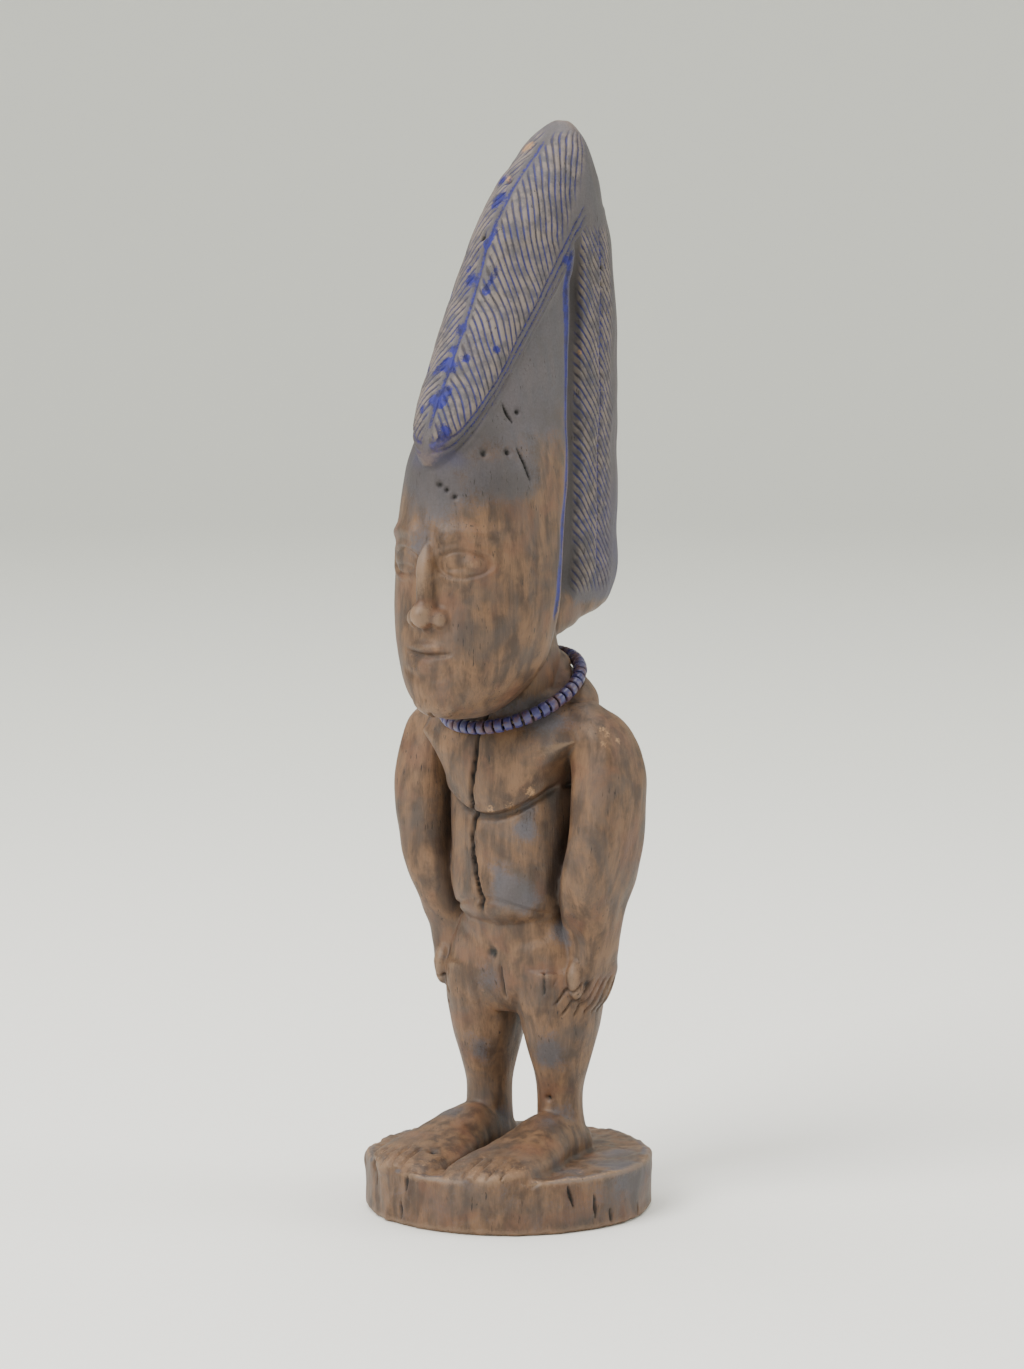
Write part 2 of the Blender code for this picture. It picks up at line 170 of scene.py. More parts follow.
def make_floor():
    bm = bmesh.new()
    start = bm.verts.new((0, 0, -FLOOR_DROP))
    edge = bm.verts.new((FLOOR_RADIUS, 0, -FLOOR_DROP))
    bm.edges.new((start, edge))
    arc = bmesh.ops.spin(bm, geom=[edge], cent=(FLOOR_RADIUS, 0, BOWL_CURVE - FLOOR_DROP), axis=(0, -1, 0),
                         angle=math.pi / 2, steps=12)["geom_last"]
    top = bmesh.ops.extrude_vert_indiv(bm, verts=[arc[0]])["verts"]
    bmesh.ops.translate(bm, verts=top, vec=(0, 0, BOWL_HEIGHT - BOWL_CURVE))
    bmesh.ops.spin(bm, geom=list(bm.verts) + list(bm.edges), cent=(0, 0, 0), axis=(0, 0, 1),
                   angle=2 * math.pi, steps=72, use_merge=True)
    bmesh.ops.remove_doubles(bm, verts=bm.verts, dist=1e-5)
    bmesh.ops.recalc_face_normals(bm, faces=bm.faces)
    mesh = bpy.data.meshes.new("floor")
    bm.to_mesh(mesh)
    bm.free()
    mesh.shade_smooth()
    material, tree, shader = new_material("pale_paper")
    place = node(tree, "TexCoord").outputs["Object"]
    away = node(tree, "VectorMath", {0: place}, operation="LENGTH").outputs["Value"]
    mottle = noise(tree, place, 0.004, 3)
    near = mix(tree, mottle, rgb(238, 237, 232), rgb(241, 240, 235))
    # Painted fall-off of light: the colour darkens with distance from the figure.
    tree.links.new(mix(tree, ramp(tree, away, 0.22, 0.85), near, rgb(228, 229, 222)),
                   shader.inputs["Base Color"])
    shader.inputs["Roughness"].default_value = 0.9
    shader.inputs["Specular IOR Level"].default_value = 0.15
    mesh.materials.append(material)
    floor = bpy.data.objects.new("floor", mesh)
    bpy.context.scene.collection.objects.link(floor)
    return floor


print("floor faces:", len(make_floor().data.polygons))

# %% [markdown]
# Soft studio light: a large lamp high on the left of the camera, a weaker one far on its right, a broad one
# overhead, and an even grey sky that fills the shadows.

# %% Lights
def area_light(name, left, front, up, size, power):
    """A square lamp placed from the camera's side: metres to its left, towards it and up."""
    across = Vector((math.cos(CAMERA_TURN), math.sin(CAMERA_TURN), 0))
    back = Vector((math.sin(CAMERA_TURN), -math.cos(CAMERA_TURN), 0))
    lamp = bpy.data.lights.new(name, "AREA")
    lamp.size = size
    lamp.energy = power
    lamp.color = (1.0, 0.985, 0.96)
    light = bpy.data.objects.new(name, lamp)
    light.location = -across * left + back * front + Vector((0, 0, up))
    light.rotation_euler = (Vector((0, 0, 0.12)) - light.location).to_track_quat("-Z", "Y").to_euler()
    light.visible_camera = False
    bpy.context.scene.collection.objects.link(light)
    return light


def light_the_room():
    area_light("key", 0.95, 0.85, 1.15, 0.9, 36)
    area_light("fill", -1.35, 0.10, 0.8, 0.8, 9)
    area_light("overhead", 0.1, -0.3, 1.9, 1.6, 41)
    world = bpy.data.worlds.new("studio")
    world.use_nodes = True
    sky = world.node_tree.nodes["Background"]
    sky.inputs["Color"].default_value = (0.93, 0.95, 0.97, 1)
    sky.inputs["Strength"].default_value = 0.5
    bpy.context.scene.world = world


light_the_room()

# %% [markdown]
# ## The block of wood: rounded forms
# Each form of the figure is a stack of rings. A ring is a circle whose points are moved on to a rounded
# outline, and `bridge_loops` joins each ring to the next. The rows below are the only sizes that a form
# needs; a smooth curve is drawn between them.

# %% Stacking rings into a form
DRAWN_HEIGHT = 276.0   # the tables are drawn for a figure of this height, in millimetres
TALL = WOOD_HIGH.z / (DRAWN_HEIGHT * MM)
RING_POINTS = 64


def between(rows, share):
    """A row between the table's rows, on a smooth curve through them; share runs from 0 to 1."""
    along = share * (len(rows) - 1)
    i = min(int(along), len(rows) - 2)
    t = along - i
    a, b, c, d = (rows[max(0, min(len(rows) - 1, k))] for k in (i - 1, i, i + 1, i + 2))
    weights = ((-t + 2 * t * t - t ** 3) / 2, (2 - 5 * t * t + 3 * t ** 3) / 2,
               (t + 4 * t * t - 3 * t ** 3) / 2, (t ** 3 - t * t) / 2)
    return [sum(w * row[k] for w, row in zip(weights, (a, b, c, d))) for k in range(7)]


def rounded(angle, squareness):
    """A point on an outline between a circle and a square, one unit in radius."""
    c, s = math.cos(angle), math.sin(angle)
    power = 2 / squareness
    return math.copysign(abs(c) ** power, c), math.copysign(abs(s) ** power, s)


def stack(bm, rows, place, rings):
    """Rings placed along a table and bridged into one closed form."""
    before, made = None, []
    for ring in range(rings):
        row = between(rows, ring / (rings - 1))
        verts = bmesh.ops.create_circle(bm, segments=RING_POINTS, radius=1.0)["verts"]
        for k, vert in enumerate(verts):
            vert.co = place(row, 2 * math.pi * k / RING_POINTS) * MM
            vert.co.z *= TALL
        edges = list({e for v in verts for e in v.link_edges})
        if before is None:
            made += bmesh.ops.contextual_create(bm, geom=edges)["faces"]
        else:
            made += bmesh.ops.bridge_loops(bm, edges=before + edges)["faces"]
        before = edges
    made += bmesh.ops.contextual_create(bm, geom=before)["faces"]
    bmesh.ops.recalc_face_normals(bm, faces=made)


def upright(side=1, front_edge=0.0):
    """A level ring. The row: height, centre x, centre y, half width, depth in front, behind, squareness."""
    def place(row, angle):
        z, x, y, half, front, behind, square = row
        c, s = rounded(angle, square + (front_edge if math.sin(angle) < 0 else 0))
        return Vector((side * (x + half * c), y + (front if s < 0 else behind) * s, z))
    return place


print("rings of", RING_POINTS, "points; scale in height", round(TALL, 4))

# %% [markdown]
# The head is a tall egg that narrows upwards into the hair. Behind the temples it stops short, which leaves
# the deep channel between the face and the rear lobe of the hair.

# %% Head, nape and neck
HEAD = (
    (128.5, 0, -21, 5.5, 8, 10, 2.1),
    (131, 0, -20, 9.5, 13.5, 14, 2.1),
    (136, 0, -18, 14.0, 18.0, 17, 2.1),
    (144, 0, -14, 18.0, 22.5, 17, 2.1),
    (154, 0, -11, 20.3, 24.6, 13, 2.2),
    (166, 0, -9, 20.6, 26.2, 12, 2.2),
    (178, 0, -8, 20.0, 27.6, 15, 2.1),
    (190, 0, -6, 18.6, 28.8, 18, 2.0),
    (198, 0, -3, 17.2, 29.6, 17, 1.9),
    (206, 0, -1, 16.0, 28.6, 15.5, 1.8),
    (214, 0, 1, 15.2, 25.8, 14, 1.8),
    (222, 0, 3, 14.5, 23.0, 12.5, 1.9),
    (232, 0, 6, 13.2, 20.0, 9.5, 2.1),
    (245, 0, 10, 12.0, 16.0, 6, 2.3),
    (256, 0, 15, 10.5, 12.0, 6, 2.2),
)
NAPE = (
    (146.5, 0, 8, 9.0, 10, 8, 2.1),
    (150.0, 0, 12, 10.0, 12, 14, 2.1),
    (158.0, 0, 13, 11.0, 12, 14, 2.1),
    (175.0, 0, 12, 11.5, 12, 14, 2.1),
    (240.0, 0, 12, 11.0, 12, 14, 2.1),
)
NECK = (
    (116.0, 0, 3.5, 17.0, 12.0, 14.0, 2.1),
    (124.0, 0, 3.0, 16.0, 11.5, 14.6, 2.1),
    (131.0, 0, 2.0, 13.4, 11.8, 15.0, 2.1),
    (138.0, 0, 0.0, 12.3, 12.0, 15.6, 2.1),
    (146.0, 0, -1.5, 12.2, 13.0, 14.6, 2.0),
    (156.0, 0, -3.0, 12.6, 13.0, 14.0, 2.0),
)
NECK_MUSCLES = (  # centre x, y, z, half sizes x, y, z
    (9.0, 8.5, 129.5, 11.5, 9.0, 9.0),
    (-9.0, 8.5, 129.5, 11.5, 9.0, 9.0),
    (5.5, 8.5, 135.5, 7.5, 7.5, 8.0),
    (-5.5, 8.5, 135.5, 7.5, 7.5, 8.0),
)
block = bmesh.new()
for rows, rings in ((HEAD, 90), (NAPE, 40), (NECK, 36)):
    stack(block, rows, upright(), rings)
print("head, nape and neck:", len(block.faces), "faces")

# %% [markdown]
# The hair rises in two lobes that meet at the crest: a front one that leans back from the forehead, and a
# rear one that hangs down to the nape like a plate, with a squarer front edge.

# %% Hair
FRONT_LOBE = (
    (192.0, 0, -31.5, 3.0, 4.4, 5, 2.0),
    (195.0, 0, -31, 5.4, 5.4, 7, 2.0),
    (200.0, 0, -28.5, 7.6, 6.8, 8, 2.0),
    (206.0, 0, -24.5, 9.0, 7.9, 9, 2.0),
    (213.0, 0, -17.5, 10.6, 9.9, 10, 2.0),
    (222.0, 0, -9.5, 12.2, 12.4, 12, 2.0),
    (232.0, 0, -0.5, 13.4, 15.3, 14, 2.0),
    (240.0, 0, 7.0, 13.4, 18.9, 16, 2.0),
    (248.5, 0, 13.8, 12.8, 21.6, 23, 2.0),
    (259.3, 0, 17.7, 11.6, 15.4, 16.4, 2.0),
    (265.7, 0, 19.5, 10.1, 10.2, 11.5, 2.0),
    (270.8, 0, 21.6, 7.7, 6.4, 7.2, 2.0),
    (274.2, 0, 23.4, 4.6, 3.5, 4.0, 2.0),
    (276.0, 0, 24.5, 1.6, 1.2, 1.4, 2.0),
)
REAR_LOBE = (
    (147.0, 0, 13, 4.0, 4, 4, 2.2),
    (149.0, 0, 17, 7.5, 6, 7, 2.2),
    (151.0, 0, 21, 9.0, 8, 11, 2.2),
    (153.0, 0, 22, 9.8, 10, 15.8, 2.3),
    (157.0, 0, 22, 11.0, 11, 19.2, 2.3),
    (161.0, 0, 22, 11.8, 11, 20.2, 2.3),
    (166.0, 0, 21.5, 12.1, 10, 20.8, 2.3),
    (175.0, 0, 21, 12.2, 9, 21.5, 2.2),
    (195.0, 0, 21, 12.4, 9, 21.9, 2.1),
    (217.0, 0, 21, 12.8, 9, 20.7, 2.1),
    (232.0, 0, 20, 13.0, 9, 20.6, 2.1),
    (244.0, 0, 18, 13.0, 12, 20.8, 2.1),
    (254.0, 0, 18, 12.2, 12, 18.8, 2.0),
)
REAR_LOBE_EDGE = 1.2
stack(block, FRONT_LOBE, upright(), 90)
stack(block, REAR_LOBE, upright(front_edge=REAR_LOBE_EDGE), 80)
print("with the hair:", len(block.faces), "faces")

# %% [markdown]
# The trunk is three stacks: the chest, whose lower rings climb towards the armpits like the edge of a
# breastplate, the flat-fronted belly, and the hips.

# %% Chest, belly and hips
CHEST_ARCH = 9.0    # how far the chest's lower edge climbs to the armpits, mm
CHEST = (
    (100.0, 0, 5.0, 18.0, 13.0, 14.5, 2.4),
    (103.5, 0, 5.0, 18.6, 15.6, 15.0, 2.5),
    (107.0, 0, 5.2, 19.6, 17.4, 15.4, 2.5),
    (112.0, 0, 5.5, 23.5, 17.6, 15.4, 2.5),
    (118.0, 0, 5.2, 27.0, 16.8, 14.6, 2.5),
    (123.5, 0, 4.8, 25.6, 15.4, 13.0, 2.4),
    (128.0, 0, 4.4, 22.0, 12.8, 13.0, 2.3),
    (131.0, 0, 4.0, 19.0, 10.6, 12.6, 2.3),
    (133.6, 0, 3.6, 14.6, 8.6, 11.0, 2.1),
)
BELLY = (
    (73.5, 0, 5.0, 12.0, 11.5, 11.0, 2.3),
    (76.5, 0, 5.0, 14.4, 15.0, 12.0, 2.3),
    (80.0, 0, 5.0, 16.0, 16.0, 13.0, 2.4),
    (86.0, 0, 5.0, 17.2, 15.8, 13.6, 2.4),
    (94.0, 0, 4.8, 17.5, 15.2, 14.0, 2.3),
    (101.0, 0, 4.8, 17.8, 14.4, 14.2, 2.3),
    (109.0, 0, 5.0, 18.2, 13.4, 14.2, 2.3),
)
HIPS = (
    (50.0, 0, 8.0, 15.5, 9.0, 10.0, 2.4),
    (54.0, 0, 8.0, 18.8, 11.5, 12.0, 2.4),
    (59.0, 0, 7.6, 20.6, 13.0, 13.2, 2.4),
    (65.0, 0, 7.2, 20.0, 13.4, 13.6, 2.4),
    (71.0, 0, 6.8, 17.2, 13.2, 12.6, 2.4),
    (76.0, 0, 6.0, 14.2, 12.6, 11.2, 2.3),
    (80.0, 0, 5.0, 12.0, 10.0, 10.0, 2.2),
)


def arched(row, angle):
    point = upright()(row, angle)
    low = max(0.0, min(1.0, (122.0 - row[0]) / 20.0))
    point.z += CHEST_ARCH * low * (point.x / 16.0) ** 2
    return point


stack(block, BELLY, upright(), 40)
stack(block, HIPS, upright(), 36)
stack(block, CHEST, arched, 50)
print("with the trunk:", len(block.faces), "faces")

# %% [markdown]
# Arms, legs and feet come in pairs, so each table is drawn once and placed on both sides. A foot runs
# forwards, so its rings stand on edge.

# %% Arms, legs and feet
LEG = (
    (14.0, 11.4, 7.4, 6.6, 7.2, 7.4, 2.2),
    (19.0, 11.2, 7.4, 6.1, 6.8, 7.0, 2.2),
    (25.0, 11.0, 7.2, 5.6, 6.2, 6.4, 2.1),
    (30.0, 11.0, 7.2, 5.6, 6.2, 6.4, 2.1),
    (36.0, 11.1, 7.2, 6.9, 7.6, 8.0, 2.1),
    (42.0, 11.1, 7.2, 8.4, 9.2, 9.8, 2.2),
    (48.0, 11.0, 7.4, 9.6, 10.6, 11.4, 2.2),
    (55.0, 10.6, 7.4, 10.4, 12.0, 12.6, 2.3),
    (62.0, 9.8, 7.2, 10.2, 12.6, 12.8, 2.3),
)
ARM = (
    (51.5, 18.8, 8.8, 2.4, 4.4, 4.6, 2.2),
    (54.0, 19.2, 8.6, 3.6, 6.6, 6.6, 2.4),
    (58.0, 19.5, 8.6, 4.4, 8.6, 8.0, 2.5),
    (62.5, 20.0, 8.4, 4.9, 8.6, 7.6, 2.5),
    (66.5, 21.0, 8.0, 5.4, 8.0, 6.8, 2.3),
    (71.0, 21.4, 7.9, 6.2, 8.4, 6.4, 2.2),
    (79.0, 22.3, 8.7, 7.1, 13.2, 6.8, 2.2),
    (86.0, 23.8, 9.0, 7.7, 15.4, 7.2, 2.2),
    (95.0, 26.0, 8.4, 7.7, 15.0, 7.6, 2.2),
    (105.0, 27.0, 7.2, 8.0, 13.4, 8.8, 2.2),
    (113.0, 27.0, 6.4, 7.9, 11.6, 9.6, 2.2),
    (119.5, 25.6, 5.8, 8.0, 9.8, 9.6, 2.2),
    (124.5, 23.0, 5.2, 8.0, 8.8, 8.6, 2.1),
    (128.0, 20.0, 4.8, 7.0, 6.8, 6.8, 2.0),
    (131.0, 16.5, 4.4, 4.6, 4.4, 4.4, 2.0),
)
ARM_EDGE = 0.6   # how much squarer an arm is in front than behind
# A foot's row: y, centre x, middle height, half width, half height up, half height down, squareness.
FOOT = (
    (14.5, 11.6, 15.0, 4.4, 3.6, 4.0, 2.2),
    (12.0, 11.6, 15.5, 6.4, 5.6, 6.0, 2.3),
    (6.0, 11.6, 16.0, 7.2, 8.2, 6.0, 2.2),
    (-2.0, 11.8, 16.0, 8.2, 8.6, 6.0, 2.1),
    (-10.0, 12.2, 15.4, 10.2, 6.4, 6.0, 2.1),
    (-20.0, 12.4, 14.8, 11.8, 4.2, 6.0, 2.2),
    (-28.0, 11.8, 14.2, 10.8, 3.0, 6.0, 2.3),
    (-32.5, 10.6, 13.9, 7.8, 2.0, 5.0, 2.3),
    (-34.5, 9.6, 13.6, 5.0, 1.0, 3.0, 2.2),
)


def lying(side):
    def place(row, angle):
        y, x, z, half, up, down, square = row
        c, s = rounded(angle, square)
        return Vector((side * (x + half * c), y, z + (up if s > 0 else down) * s))
    return place


for side in (1, -1):
    stack(block, LEG, upright(side), 50)
    stack(block, ARM, upright(side, ARM_EDGE), 80)
    stack(block, FOOT, lying(side), 50)
print("with the limbs:", len(block.faces), "faces")

# %% [markdown]
# The face is calm and plain, set out in equal thirds from hairline to brow, brow to nose and nose to chin.
# Its forms start as lumps, each a ball stretched to size, and the base is a thick disc with both rims eased.

# %% Face and base
FACE = (  # centre x, y, z, half sizes x, y, z
    (0.0, -35.0, 161.5, 2.6, 4.2, 12.0),    # bridge and ridge of the nose
    (0.0, -36.8, 155.4, 3.4, 4.2, 3.6),     # tip
    (3.2, -35.0, 154.4, 2.8, 3.4, 2.7),     # wings
    (-3.2, -35.0, 154.4, 2.8, 3.4, 2.7),
    (8.2, -28.8, 168.0, 5.4, 4.8, 4.2),     # eyes
    (-8.2, -28.8, 168.0, 5.4, 4.8, 4.2),
    (0.0, -33.0, 147.1, 6.8, 4.2, 2.5),     # upper and lower lip
    (0.0, -32.6, 142.7, 5.9, 4.4, 2.8),
    (0.0, -30.8, 134.0, 7.4, 4.8, 5.0),     # chin
)
THUMBS = (
    (20.4, 0.4, 60.2, 2.3, 2.6, 5.4),
    (-20.4, 0.4, 60.2, 2.3, 2.6, 5.4),
)
BASE_THICKNESS = 13.8 * MM
BASE_RADIUS = min(WOOD_HIGH.x, -WOOD_LOW.x)


def lump(bm, x, y, z, rx, ry, rz):
    size = Matrix.Diagonal((rx * MM, ry * MM, rz * MM * TALL, 1))
    bmesh.ops.create_icosphere(bm, subdivisions=4, radius=1.0,
                               matrix=Matrix.Translation((x * MM, y * MM, z * MM * TALL)) @ size)


def base(bm):
    made = bmesh.ops.create_cone(bm, cap_ends=True, segments=144, radius1=BASE_RADIUS, radius2=BASE_RADIUS,
                                 depth=BASE_THICKNESS,
                                 matrix=Matrix.Translation((0, 0, BASE_THICKNESS / 2)))
    rims = {e for v in made["verts"] for e in v.link_edges
            if abs(e.verts[0].co.z - e.verts[1].co.z) < 1e-6}
    bmesh.ops.bevel(bm, geom=list(rims), offset=1.1 * MM, segments=3, profile=0.5, affect="EDGES",
                    material=-1)


for row in NECK_MUSCLES + FACE + THUMBS:
    lump(block, *row)
base(block)
print("whole block:", len(block.faces), "faces, base radius mm", round(BASE_RADIUS / MM, 1))

# %% [markdown]
# ## One skin
# The forms overlap, so a voxel remesh melts them into one closed skin with points about half a millimetre
# apart, fine enough to cut lines into. A few smoothing passes ease the joins, as sandpaper does.

# %% Merge the forms
VOXEL = 0.47 * MM


def evaluated_copy(obj, name):
    """The object's mesh with its modifiers applied."""
    graph = bpy.context.evaluated_depsgraph_get()
    mesh = bpy.data.meshes.new_from_object(obj.evaluated_get(graph))
    mesh.name = name
    return mesh


def merged_skin(bm):
    rough = bpy.data.meshes.new("rough_block")
    bm.to_mesh(rough)
    bm.free()
    obj = bpy.data.objects.new("figure", rough)
    bpy.context.scene.collection.objects.link(obj)
    remesh = obj.modifiers.new("merge", "REMESH")
    remesh.mode = "VOXEL"
    remesh.voxel_size = VOXEL
    ease = obj.modifiers.new("ease", "SMOOTH")
    ease.factor = 0.5
    ease.iterations = 8
    skin = evaluated_copy(obj, "figure_skin")
    obj.modifiers.clear()
    obj.data = skin
    bpy.data.meshes.remove(rough)
    return obj


figure = merged_skin(block)
print("skin:", len(figure.data.vertices), "points")

# %% [markdown]
# ## Carving
# Cuts are made by moving points of the skin along their normals. Everything is measured in millimetres:
# `X` is the distance from the middle plane, so one rule carves both sides, and `wander` is a slow, smooth
# unevenness that stands for the hand.

# %% Measures on the skin
def read(mesh, field, width):
    values = np.empty(len(mesh.vertices) * width, np.float32)
    mesh.vertices.foreach_get(field, values)
    return values.reshape(-1, width).astype(float)


def wander(points, size, seed, waves=14):
    """Smooth unevenness about -1 to 1, with swells of this size in millimetres."""
    rng = np.random.default_rng(seed)
    ways = rng.normal(size=(waves, 3))
    ways *= (2 * math.pi / size * rng.uniform(0.6, 1.3, waves) / np.linalg.norm(ways, axis=1))[:, None]
    shifts = rng.uniform(0, 2 * math.pi, waves)
    total = sum(np.cos(points @ way + shift) for way, shift in zip(ways, shifts))
    return total / math.sqrt(waves)


def step(value, low, high):
    """0 below low, 1 above high, smooth between; low may be the greater."""
    t = np.clip((value - low) / (high - low), 0, 1)
    return t * t * (3 - 2 * t)


def ridge(value, width):
    """1 at zero, falling off on both sides over this width."""
    return np.exp(-(value / width) ** 2)


def groove(phase, share):
    """1 in the middle of each cut, one cut per whole number; share is how much of the pitch it takes."""
    off = np.abs(phase - np.round(phase))
    return step(off, share / 2, 0.0)


def curve(x, points):
    """A value read from a few points, with soft corners."""
    xs, ys = zip(*points)
    return sum(np.interp(x + shift, xs, ys) for shift in (-1.2, -0.6, 0, 0.6, 1.2)) / 5


def near(points, centre, radius):
    """1 at a spot's centre, falling off over its radius."""
    return np.exp(-((np.linalg.norm(points - np.array(centre), axis=1) / radius) ** 2))


place_mm = read(figure.data, "co", 3) / MM
place_mm[:, 2] /= TALL
out = read(figure.data, "normal", 3)
x, y, z = place_mm.T
X = np.abs(x)
print("tallest point, mm:", round(float(z.max()), 2))

# %% [markdown]
# Worn wood is darker in its hollows and paler on its edges. To know which is which, the skin is smoothed
# hard, and each point is compared with where the smoothing took it: outside it lies on an edge, inside it
# in a hollow.

# %% Edges and hollows
def neighbour_average(edges, count, values):
    totals = np.zeros_like(values)
    for axis in range(values.shape[1]):
        totals[:, axis] = (np.bincount(edges[:, 0], values[edges[:, 1], axis], count)
                           + np.bincount(edges[:, 1], values[edges[:, 0], axis], count))
    number = np.bincount(edges.ravel(), minlength=count)
    return totals / np.maximum(number, 1)[:, None]


def edge_height(mesh, points, normals, passes):
    """How far each point stands out from the smoothed skin, in millimetres."""
    edges = np.empty(len(mesh.edges) * 2, np.int32)
    mesh.edges.foreach_get("vertices", edges)
    edges = edges.reshape(-1, 2)
    smooth = points.copy()
    for _ in range(passes):
        smooth = neighbour_average(edges, len(points), smooth)
    return ((points - smooth) * normals).sum(axis=1)


standing = edge_height(figure.data, place_mm, out, 40)
print("edges stand out up to", round(float(np.percentile(standing, 99)), 2), "mm")

# %% [markdown]
# ### The hair's cuts
# The front lobe carries a cut along its middle and, on each side, a fan of fine cuts that leave it downwards
# like the barbs of a feather. The fan's number grows by one from cut to cut, so one formula draws them all:
# it depends on the height and on how far round from the middle a point lies. Three lines follow the lobe's
# lower border.

# %% Front lobe
FRONT_PITCH = 2.1
RIDGE_LINE = ((190, -36.5), (197, -36), (203, -33.5), (208, -30.5), (218, -24.5), (228, -18.5), (239, -13),
              (247, -8.6), (259, 2.3), (266, 9.5), (272, 16.4), (276, 25))
INNER_BORDER = ((-37, 197.0), (-32.3, 199.8), (-28.5, 203.3), (-20, 213.0), (-11.9, 224.0), (-2.5, 235.7),
                (4.5, 243.5), (11.3, 250.0), (16, 254.5), (45, 262))
hand = wander(place_mm, 9, 11)
front_y = curve(z, RIDGE_LINE)
front_phase = (0.85 * z + 0.8 * X + 1.1 * (y - front_y)) / FRONT_PITCH + 0.12 * hand
border = z - curve(y, INNER_BORDER) + 0.25 * wander(place_mm, 12, 12)
lobe_back = 12 + (z - 255) * 0.7
on_front = step(border, 0.2, 0.9) * step(y, lobe_back + 1.5, lobe_back - 2.5) * step(z, 274.5, 271.5)
middle_cut = ridge(x, 0.62) * step(y, front_y + 6, front_y + 3) * step(z, 199, 203) * step(z, 273, 270)
on_barbs = on_front * step(X, 0.9, 1.8)
border_cuts = ridge(border, 0.60) + ridge(border + 2.2, 0.62) + 0.7 * ridge(border + 4.4, 0.55)
border_cuts *= step(y, 20, 14) * step(X, 0.5, 2.0) * step(z, 193, 196)
print("front lobe's cuts number", int(np.ptp(front_phase[on_barbs > 0.5])))

# %% [markdown]
# The rear lobe has slanting cuts behind its front edge, crossed by one upright line. Its back is plain.

# %% Rear lobe
REAR_PITCH = 2.5
BAND_FRONT, UPRIGHT_LINE, PLAIN_BACK = 13.6, 23.0, 31.0
rear_phase = (z + 1.4 * y) / REAR_PITCH + 0.08 * wander(place_mm, 10, 21)
on_rear = (step(y, BAND_FRONT, BAND_FRONT + 0.8) * step(y, PLAIN_BACK, PLAIN_BACK - 4)
           * step(X, 8.5, 9.5) * step(z, 156, 159) * step(z, 251, 247))
upright_cut = ridge(y - UPRIGHT_LINE - 0.3 * wander(place_mm, 30, 22), 0.55) * step(X, 7, 9) \
    * step(z, 160, 164) * step(z, 252, 247)
nape_cut = ridge(x, 0.5) * step(y, 30, 34) * step(z, 160, 166) * step(z, 262, 254)
print("rear lobe's cuts hold", int(on_rear.sum()), "points")

# %% [markdown]
# Where the temple turns into the channel a line of blue runs from the top of the hair down to the jaw. The
# channel ends in a dark hollow under the rear lobe.

# %% Temple line
TEMPLE_LINE = ((140, -7), (148, -7), (154, -7.5), (166, -6), (178, -3), (190, 1.5), (198, 3.5), (214, 5),
               (232, 7), (250, 9.5))
temple_off = y - curve(z, TEMPLE_LINE)
temple_cut = ridge(temple_off + 0.9, 1.3) * step(X, 8, 10) * step(border, -2.0, -4.5) * step(z, 150, 156)
channel = step(temple_off, 1.0, 3.0) * step(y, 15.5, 13.0) * step(z, 154, 160) * step(z, 249, 243)
notch = near(np.c_[X, y, z], (11.5, 10.5, 161.5), 4.6)
print("channel holds", int(channel.sum()), "points")

# %% [markdown]
# ### The face
# Almond eyes with a rim for each lid, a low brow, two nostrils, a parting between the lips. Each is a soft
# ridge or cut drawn by a short formula, only on skin that faces forwards.

# %% Face
facing = step(out[:, 1], -0.15, -0.4) * step(y, -18, -22) * step(z, 127, 130) * step(z, 190, 186)
eye_x, eye_z = (X - 8.6) / 6.0, (z - 168.0) / 3.5
almond = np.sqrt(np.abs(eye_x) ** 1.8 + np.abs(eye_z) ** 2) - 1
lids = 0.34 * ridge(almond - 0.20, 0.20) - 0.50 * ridge(almond + 0.04, 0.10)
slit = -0.4 * ridge(z - 167.0 + 0.03 * (X - 8.6) ** 2, 0.5) * step(almond, -0.12, -0.3)
brow_z = 176.0 - 0.035 * (X - 8.0) ** 2
brow = 0.95 * ridge(z - brow_z, 1.8) * step(X, 2.0, 4.0) * step(X, 18, 14)
nostrils = -1.2 * near(np.c_[X, y, z], (2.6, -37.6, 152.2), 1.1)
parting = -0.9 * ridge(z - 145.1 - 0.02 * X ** 2, 0.55) * step(X, 7.6, 5.8)
philtrum = -0.35 * ridge(x, 1.0) * ridge(z - 150.3, 1.5)
chin_fold = -0.45 * ridge(z - 139.3 - 0.03 * X ** 2, 1.2) * step(X, 9, 6)
wing_fold = -0.4 * ridge(X - 6.2 - 0.25 * (154.5 - z), 0.7) * ridge(z - 153.5, 3.0)
face_cuts = facing * (lids + slit + brow + nostrils + parting + philtrum + chin_fold + wing_fold)
print("face relief from", round(float(face_cuts.min()), 2), "to", round(float(face_cuts.max()), 2), "mm")

# %% [markdown]
# ### The body
# Hands and feet get their fingers and toes, the chest a lip along its lower edge, and the belly a crease.

# %% Hands, feet and trunk
finger = (y - 0.45 * z) / 2.7 + 0.12
on_hand = step(z, 61.5, 58.5) * step(z, 50, 52) * step(X, 15.5, 17.0)
fingers = groove(finger, 0.34) * on_hand
knuckles = 0.35 * ridge(z - 61.5, 1.8) * step(X, 16, 18) * step(z, 50, 52)
toe = np.interp(X, (5.0, 9.6, 12.9, 16.1, 19.2, 22.0), (0, 1, 2, 3, 4, 5))
toe_tips = step(y, -24.5, -27.0) * step(z, 13.9, 14.6) * step(z, 24, 20) * step(X, 7, 8) * step(X, 21, 20)
toes = groove(toe, 0.26) * toe_tips
trunk_front = step(out[:, 1], -0.1, -0.5) * step(y, 0, -3)
chest_edge_z = 102.6 + 0.030 * X ** 2
chest_shadow = ridge(z - chest_edge_z + 1.1, 0.9) * trunk_front * step(X, 20, 17)
